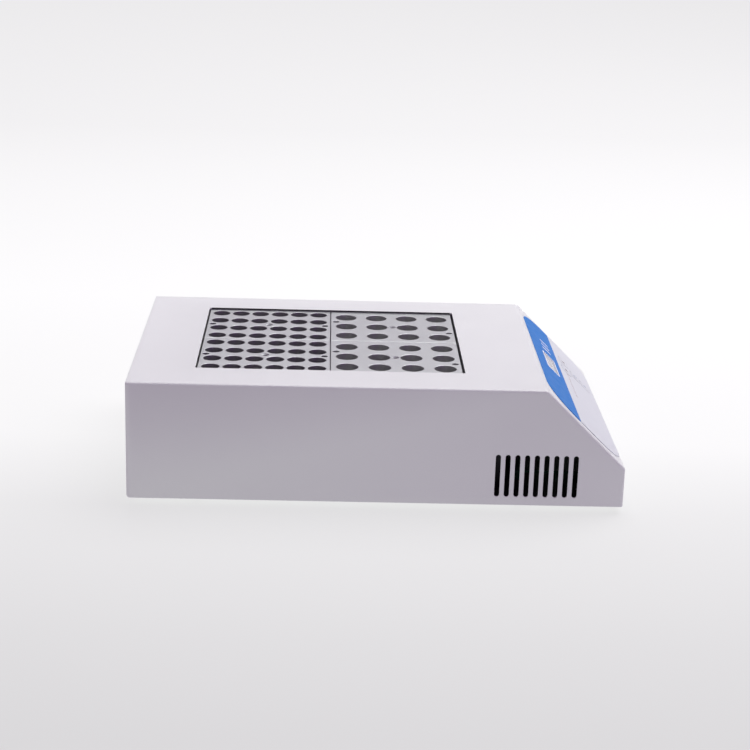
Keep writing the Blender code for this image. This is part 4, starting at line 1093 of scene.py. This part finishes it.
def build_inlet():
    middle, size, high = middle_of("power_inlet")
    face = high.y
    flange = rectangle(size.x, size.z, INLET_CORNER)
    obj = piece("inlet_body", plate([flange], INLET_FLANGE, rearward(middle.x, face, middle.z)), BLACK)
    soften(obj, INLET_EDGE, 3)
    depth = INLET_DEPTH + INLET_FLANGE / 2 - INLET_INSET
    body = (INLET_BODY[0], depth, INLET_BODY[1])
    carve(obj, block(body, at(middle.x, face - INLET_INSET - depth / 2, middle.z)), "UNION")
    mouth = rearward(middle.x, face + OVERCUT, middle.z + SOCKET_RISE)
    half_x = SOCKET[0] / 2
    half_z = SOCKET[1] / 2
    cut = SOCKET_CHAMFER
    outline = [(half_x, -half_z), (half_x, half_z - cut), (half_x - cut, half_z), (cut - half_x, half_z)]
    outline += [(-half_x, half_z - cut), (-half_x, -half_z)]
    carve(obj, plate([outline], SOCKET_DEPTH + OVERCUT, mouth))
    slot = (DRAWER[0] + 2 * GAP, 2 * (DRAWER[1] + GAP), DRAWER[2] + 2 * GAP)
    carve(obj, block(slot, at(middle.x, face, middle.z - DRAWER_DROP)))
    for node in ("inlet_pin_live", "inlet_pin_neutral", "inlet_pin_earth"):
        pin_middle, pin_size = middle_of(node)[:2]
        slit = (pin_size.x + 2 * GAP, PIN_CUT, pin_size.z + 2 * GAP)
        carve(obj, block(slit, at(*pin_middle)))
        pin = piece("blade_" + node, block(pin_size, at(*pin_middle)), BRASS)
        soften(pin, PIN_EDGE)
        placed(pin, "housing", "plated_brass", node)
    soften(obj, MOULDED_EDGE)
    placed(obj, "housing", "black_plastic", "power_inlet")


def build_drawer():
    middle, size, high = middle_of("fuse_drawer")
    front = rectangle(size.x, size.z, DRAWER_CORNER, steps=6)
    obj = piece("fuse_drawer_body", plate([front], DRAWER_LIP, rearward(middle.x, high.y, middle.z)), BLACK)
    body_y = high.y - DRAWER_LIP / 2 - DRAWER[1] / 2
    carve(obj, block(DRAWER, at(middle.x, body_y, middle.z)), "UNION")
    fuse_middle, fuse_size = middle_of("fuse")[:2]
    trough = (fuse_size.x + 2 * GAP, DRAWER_TROUGH, 2 * (DRAWER[2] - DRAWER_FLOOR))
    carve(obj, block(trough, at(middle.x, fuse_middle.y, middle.z + DRAWER[2] / 2)))
    radius, depth = DRAWER_NOTCH
    brim = rearward(middle.x, high.y, middle.z + size.z / 2) @ Matrix.Rotation(math.pi, 4, "X")
    carve(obj, turned([(0.0, OVERCUT), (radius, OVERCUT), (radius, -depth), (0.0, -depth)], 32, brim))
    soften(obj, SMALL_EDGE)
    placed(obj, "fuse_carrier", "black_plastic", "fuse_drawer")
    build_fuse(fuse_middle, fuse_size)


def build_fuse(middle, size):
    """A glass fuse: a tube between two pressed caps."""
    radius = size.z / 2
    half = size.x / 2
    cap_foot = half - FUSE_CAP
    along = at(*middle) @ Matrix.Rotation(math.radians(90), 4, "Y")
    cap = [(0.0, half), (radius - FUSE_CAP_ROUND, half), (radius, half - FUSE_CAP_ROUND), (radius, cap_foot)]
    cap += [(radius - FUSE_CAP_ROUND / 2, cap_foot), (0.0, cap_foot)]
    caps = merged(turned(cap, 32, along), turned(cap, 32, along @ Matrix.Rotation(math.pi, 4, "X")))
    placed(piece("fuse_caps", caps, BRASS), "fuse_carrier", "fuse_glass")
    end = cap_foot - FUSE_GAP
    tube = [(0.0, end), (radius - GAP, end), (radius - GAP, -end), (0.0, -end)]
    glass = smooth(piece("fuse_tube", turned(tube, 32, along), FUSE_GLASS))
    placed(glass, "fuse_carrier", "fuse_glass", "fuse")


def build_switch():
    middle, size, high = middle_of("switch_housing")
    face = high.y
    bezel = rectangle(size.x, size.z, SWITCH_CORNER)
    obj = piece("switch_bezel", plate([bezel], SWITCH_FLANGE, rearward(middle.x, face, middle.z)), BLACK)
    soften(obj, SWITCH_EDGE, 3)
    body = (SWITCH_BODY[0], SWITCH_DEPTH, SWITCH_BODY[1])
    body_y = face - SWITCH_INSET - SWITCH_DEPTH / 2
    carve(obj, block(body, at(middle.x, body_y, middle.z)), "UNION")
    well = (ROCKER_WIDTH + 2 * GAP, SWITCH_WELL, 2 * ROCKER_HALF + SWITCH_WELL_MARGIN)
    carve(obj, block(well, at(middle.x, face, middle.z)))
    soften(obj, SMALL_EDGE)
    placed(obj, "housing", "black_plastic", "switch_housing")
    build_rocker()


def build_rocker():
    """The rocker's dished cap, tilted about the joint's own axis, with the usual two marks."""
    rise = ROCKER_PROUD - ROCKER_WAIST
    pivot = [row for row in frame["joints"] if row["name"] == "rocker_tip"][0]["pos_m"]
    profile = []
    for k in range(ROCKER_STEPS + 1):
        t = 2 * k / ROCKER_STEPS - 1
        profile.append((t * ROCKER_HALF, ROCKER_WAIST + rise * abs(t) ** ROCKER_DISH))
    foot = ROCKER_HALF - ROCKER_TAPER
    profile += [(foot, -ROCKER_DEPTH), (0.0, -ROCKER_DEPTH - ROCKER_KEEL), (-foot, -ROCKER_DEPTH)]
    across = Matrix(((0, 0, 1, 0), (0, 1, 0, 0), (-1, 0, 0, 0), (0, 0, 0, 1)))
    tilt = at(*pivot) @ Matrix.Rotation(-ROCKER_TILT, 4, "X") @ at(0.0, PIVOT_TO_CAP, 0.0)
    side = tilt @ at(-ROCKER_WIDTH / 2, 0.0, 0.0) @ across
    rocker = piece("switch_rocker_cap", plate([profile], ROCKER_WIDTH, side), BLACK_GLOSS)
    soften(rocker, ROCKER_EDGE, 3, 40)
    placed(rocker, "rocker", "black_plastic", "switch_rocker")
    lean = math.atan2(rise, ROCKER_HALF) * MARK_LEAN
    marks = (("on", 1, [rectangle(*ON_MARK)]), ("off", -1, [circle(radius) for radius in OFF_MARK]))
    for name, sign, outlines in marks:
        spot = at(0.0, ROCKER_WAIST + rise * MARK_RISE, sign * ROCKER_HALF * MARK_PLACE)
        facing = Matrix.Rotation(-sign * lean, 4, "X") @ Matrix.Rotation(math.radians(-90), 4, "X")
        mark = plate(outlines, MARK_THICKNESS, tilt @ spot @ facing)
        placed(piece("rocker_mark_" + name, mark, WHITE_INK), "rocker", "black_plastic")


build_cover()
build_chassis()
build_blocks()
build_film()
build_keys()
build_display()
build_marks()
build_feet()
build_screws()
build_inlet()
build_drawer()
build_switch()


# Carried-over CAD nodes get their finishes here.
CARRIED = {
    "tray_aluminium": TRAY_METAL,
    "silicone_rubber": heater_cloth("heater_cloth", (0.42, 0.09, 0.05)),
    "clamp_steel": bright_steel("clamp_plate_steel", (0.50, 0.51, 0.53), 0.4),
    "mineral_wool": wool("mineral_wool", (0.62, 0.55, 0.36)),
    "ceramic": ceramic("ceramic", (0.72, 0.69, 0.62)),
    "probe_steel": bright_steel("probe_steel", (0.58, 0.59, 0.60), 0.22),
    "phenolic": moulded("phenolic", (0.045, 0.030, 0.025), 0.4),
    "display_grey": MODULE,
    "circuit_board": circuit_board("circuit_board", (0.015, 0.12, 0.05)),
    "lacquered_core": laminations("laminations", (0.08, 0.075, 0.075)),
    "black_anodised": drawn_aluminium("black_anodised", (0.035, 0.035, 0.040)),
    "black_plastic": BLACK,
    "plated_brass": BRASS,
    "fuse_glass": FUSE_GLASS,
    "cable_sleeve": sleeve("cable_sleeve", (0.030, 0.030, 0.032)),
    "silicone_lead": sleeve("silicone_lead", (0.42, 0.04, 0.03), 0.4),
    "screw_steel": STEEL,
}
for row in record["subparts"]:
    node = frame["nodes"][row["node"]]
    if node.hide_render:
        continue
    finish = CARRIED[row["material_slot"]]
    if node.material_slots:
        for material_slot in node.material_slots:
            material_slot.material = finish
    else:
        node.data.materials.append(finish)


# The studio. The sweep is lit mostly from within, brightest just behind the object: (X, glow) pairs.
SWEEP_GLOW = (
    (-0.44, 0.565),
    (-0.32, 0.60),
    (-0.26, 0.625),
    (-0.11, 0.68),
    (0.03, 0.775),
    (0.44, 0.81),
    (0.91, 0.77),
    (1.41, 0.72),
    (2.88, 0.715),
)
SWEEP_SPAN = (-0.5, 3.0)
FLOOR_REACH = 45.0
WORLD_COLOUR = (0.94, 0.70, 1.0, 1.0)
WORLD_STRENGTH = 0.25


def build_floor():
    """A pale sweep that runs far behind the object, so that it fills the view."""
    bm = bmesh.new()
    bmesh.ops.create_grid(bm, x_segments=24, y_segments=24, size=FLOOR_REACH)
    floor = piece("studio_floor", bm)
    f = Finish("studio_floor", (0.18, 0.18, 0.18), 0.9)
    f.shade(f.noise(0.6, 2), 0.01)
    f.set(Specular_IOR_Level=0.0, Emission_Color=(1.0, 1.0, 1.0, 1.0))
    split = f.tree.nodes.new("ShaderNodeSeparateXYZ")
    f.link(f.coordinates, split.inputs["Vector"])
    ramp = f.tree.nodes.new("ShaderNodeValToRGB")
    stops = ramp.color_ramp.elements
    while len(stops) < len(SWEEP_GLOW):
        stops.new(1.0)
    for stop, (x, strength) in zip(stops, SWEEP_GLOW):
        stop.position = (x - SWEEP_SPAN[0]) / (SWEEP_SPAN[1] - SWEEP_SPAN[0])
        stop.color = (strength, strength, strength, 1.0)
    f.link(f.mapped(split.outputs["X"], 0.0, 1.0, *SWEEP_SPAN), ramp.inputs["Fac"])
    f.link(ramp.outputs["Color"], f.shader.inputs["Emission Strength"])
    floor.data.materials.append(f.material)


def area_light(name, place, target, size, power, colour=(1.0, 1.0, 1.0)):
    data = bpy.data.lights.new(name, "AREA")
    data.shape = "RECTANGLE"
    data.size, data.size_y = size
    data.energy = power
    data.color = colour
    light = bpy.data.objects.new(name, data)
    bpy.context.scene.collection.objects.link(light)
    light.location = place
    light.rotation_mode = "QUATERNION"
    light.rotation_quaternion = (Vector(target) - Vector(place)).to_track_quat("-Z", "Y")


def build_lights():
    world = bpy.data.worlds.new("studio")
    bpy.context.scene.world = world
    world.use_nodes = True
    background = world.node_tree.nodes["Background"]
    background.inputs["Color"].default_value = WORLD_COLOUR
    background.inputs["Strength"].default_value = WORLD_STRENGTH
    area_light("overhead", (0.62, -0.72, 1.7), (0.60, -0.50, 0.0), (1.5, 2.2), 37.3)
    area_light("sweep", (3.0, 0.0, 2.2), (3.0, 0.0, 0.0), (3.0, 4.0), 34.0)
    area_light("side_fill", (-2.0, -1.5, 0.7), (0.0, -0.1, 0.05), (1.5, 1.0), 3.8, (0.56, 0.12, 0.98))


def build_camera():
    """The camera stands off the left side, a little above, and looks across the case."""
    lens = 85.07
    stand_off = 1.1675
    from_rear = 0.13656
    above = 0.3847
    yaw, pitch, roll = 0.031, 0.311, 0.031
    data = bpy.data.cameras.new("camera")
    data.lens = lens
    data.sensor_width = 36.0
    data.clip_start = 0.05
    data.clip_end = 60.0
    camera = bpy.data.objects.new("camera", data)
    bpy.context.scene.collection.objects.link(camera)
    camera.location = (-X_OUT - stand_off, Y_REAR - from_rear, Z_TOP + above)
    ahead = Vector((math.cos(yaw) * math.cos(pitch), -math.sin(yaw) * math.cos(pitch), -math.sin(pitch)))
    level = ahead.cross(Vector((0.0, 0.0, 1.0))).normalized()
    upward = level.cross(ahead)
    right = level * math.cos(roll) + upward * math.sin(roll)
    up = upward * math.cos(roll) - level * math.sin(roll)
    turn = Matrix((right, up, -ahead)).transposed()
    camera.rotation_mode = "QUATERNION"
    camera.rotation_quaternion = turn.to_quaternion()
    bpy.context.scene.camera = camera


build_floor()
build_lights()
build_camera()
bpy.context.scene.view_settings.view_transform = "Standard"

bpy.context.view_layer.update()
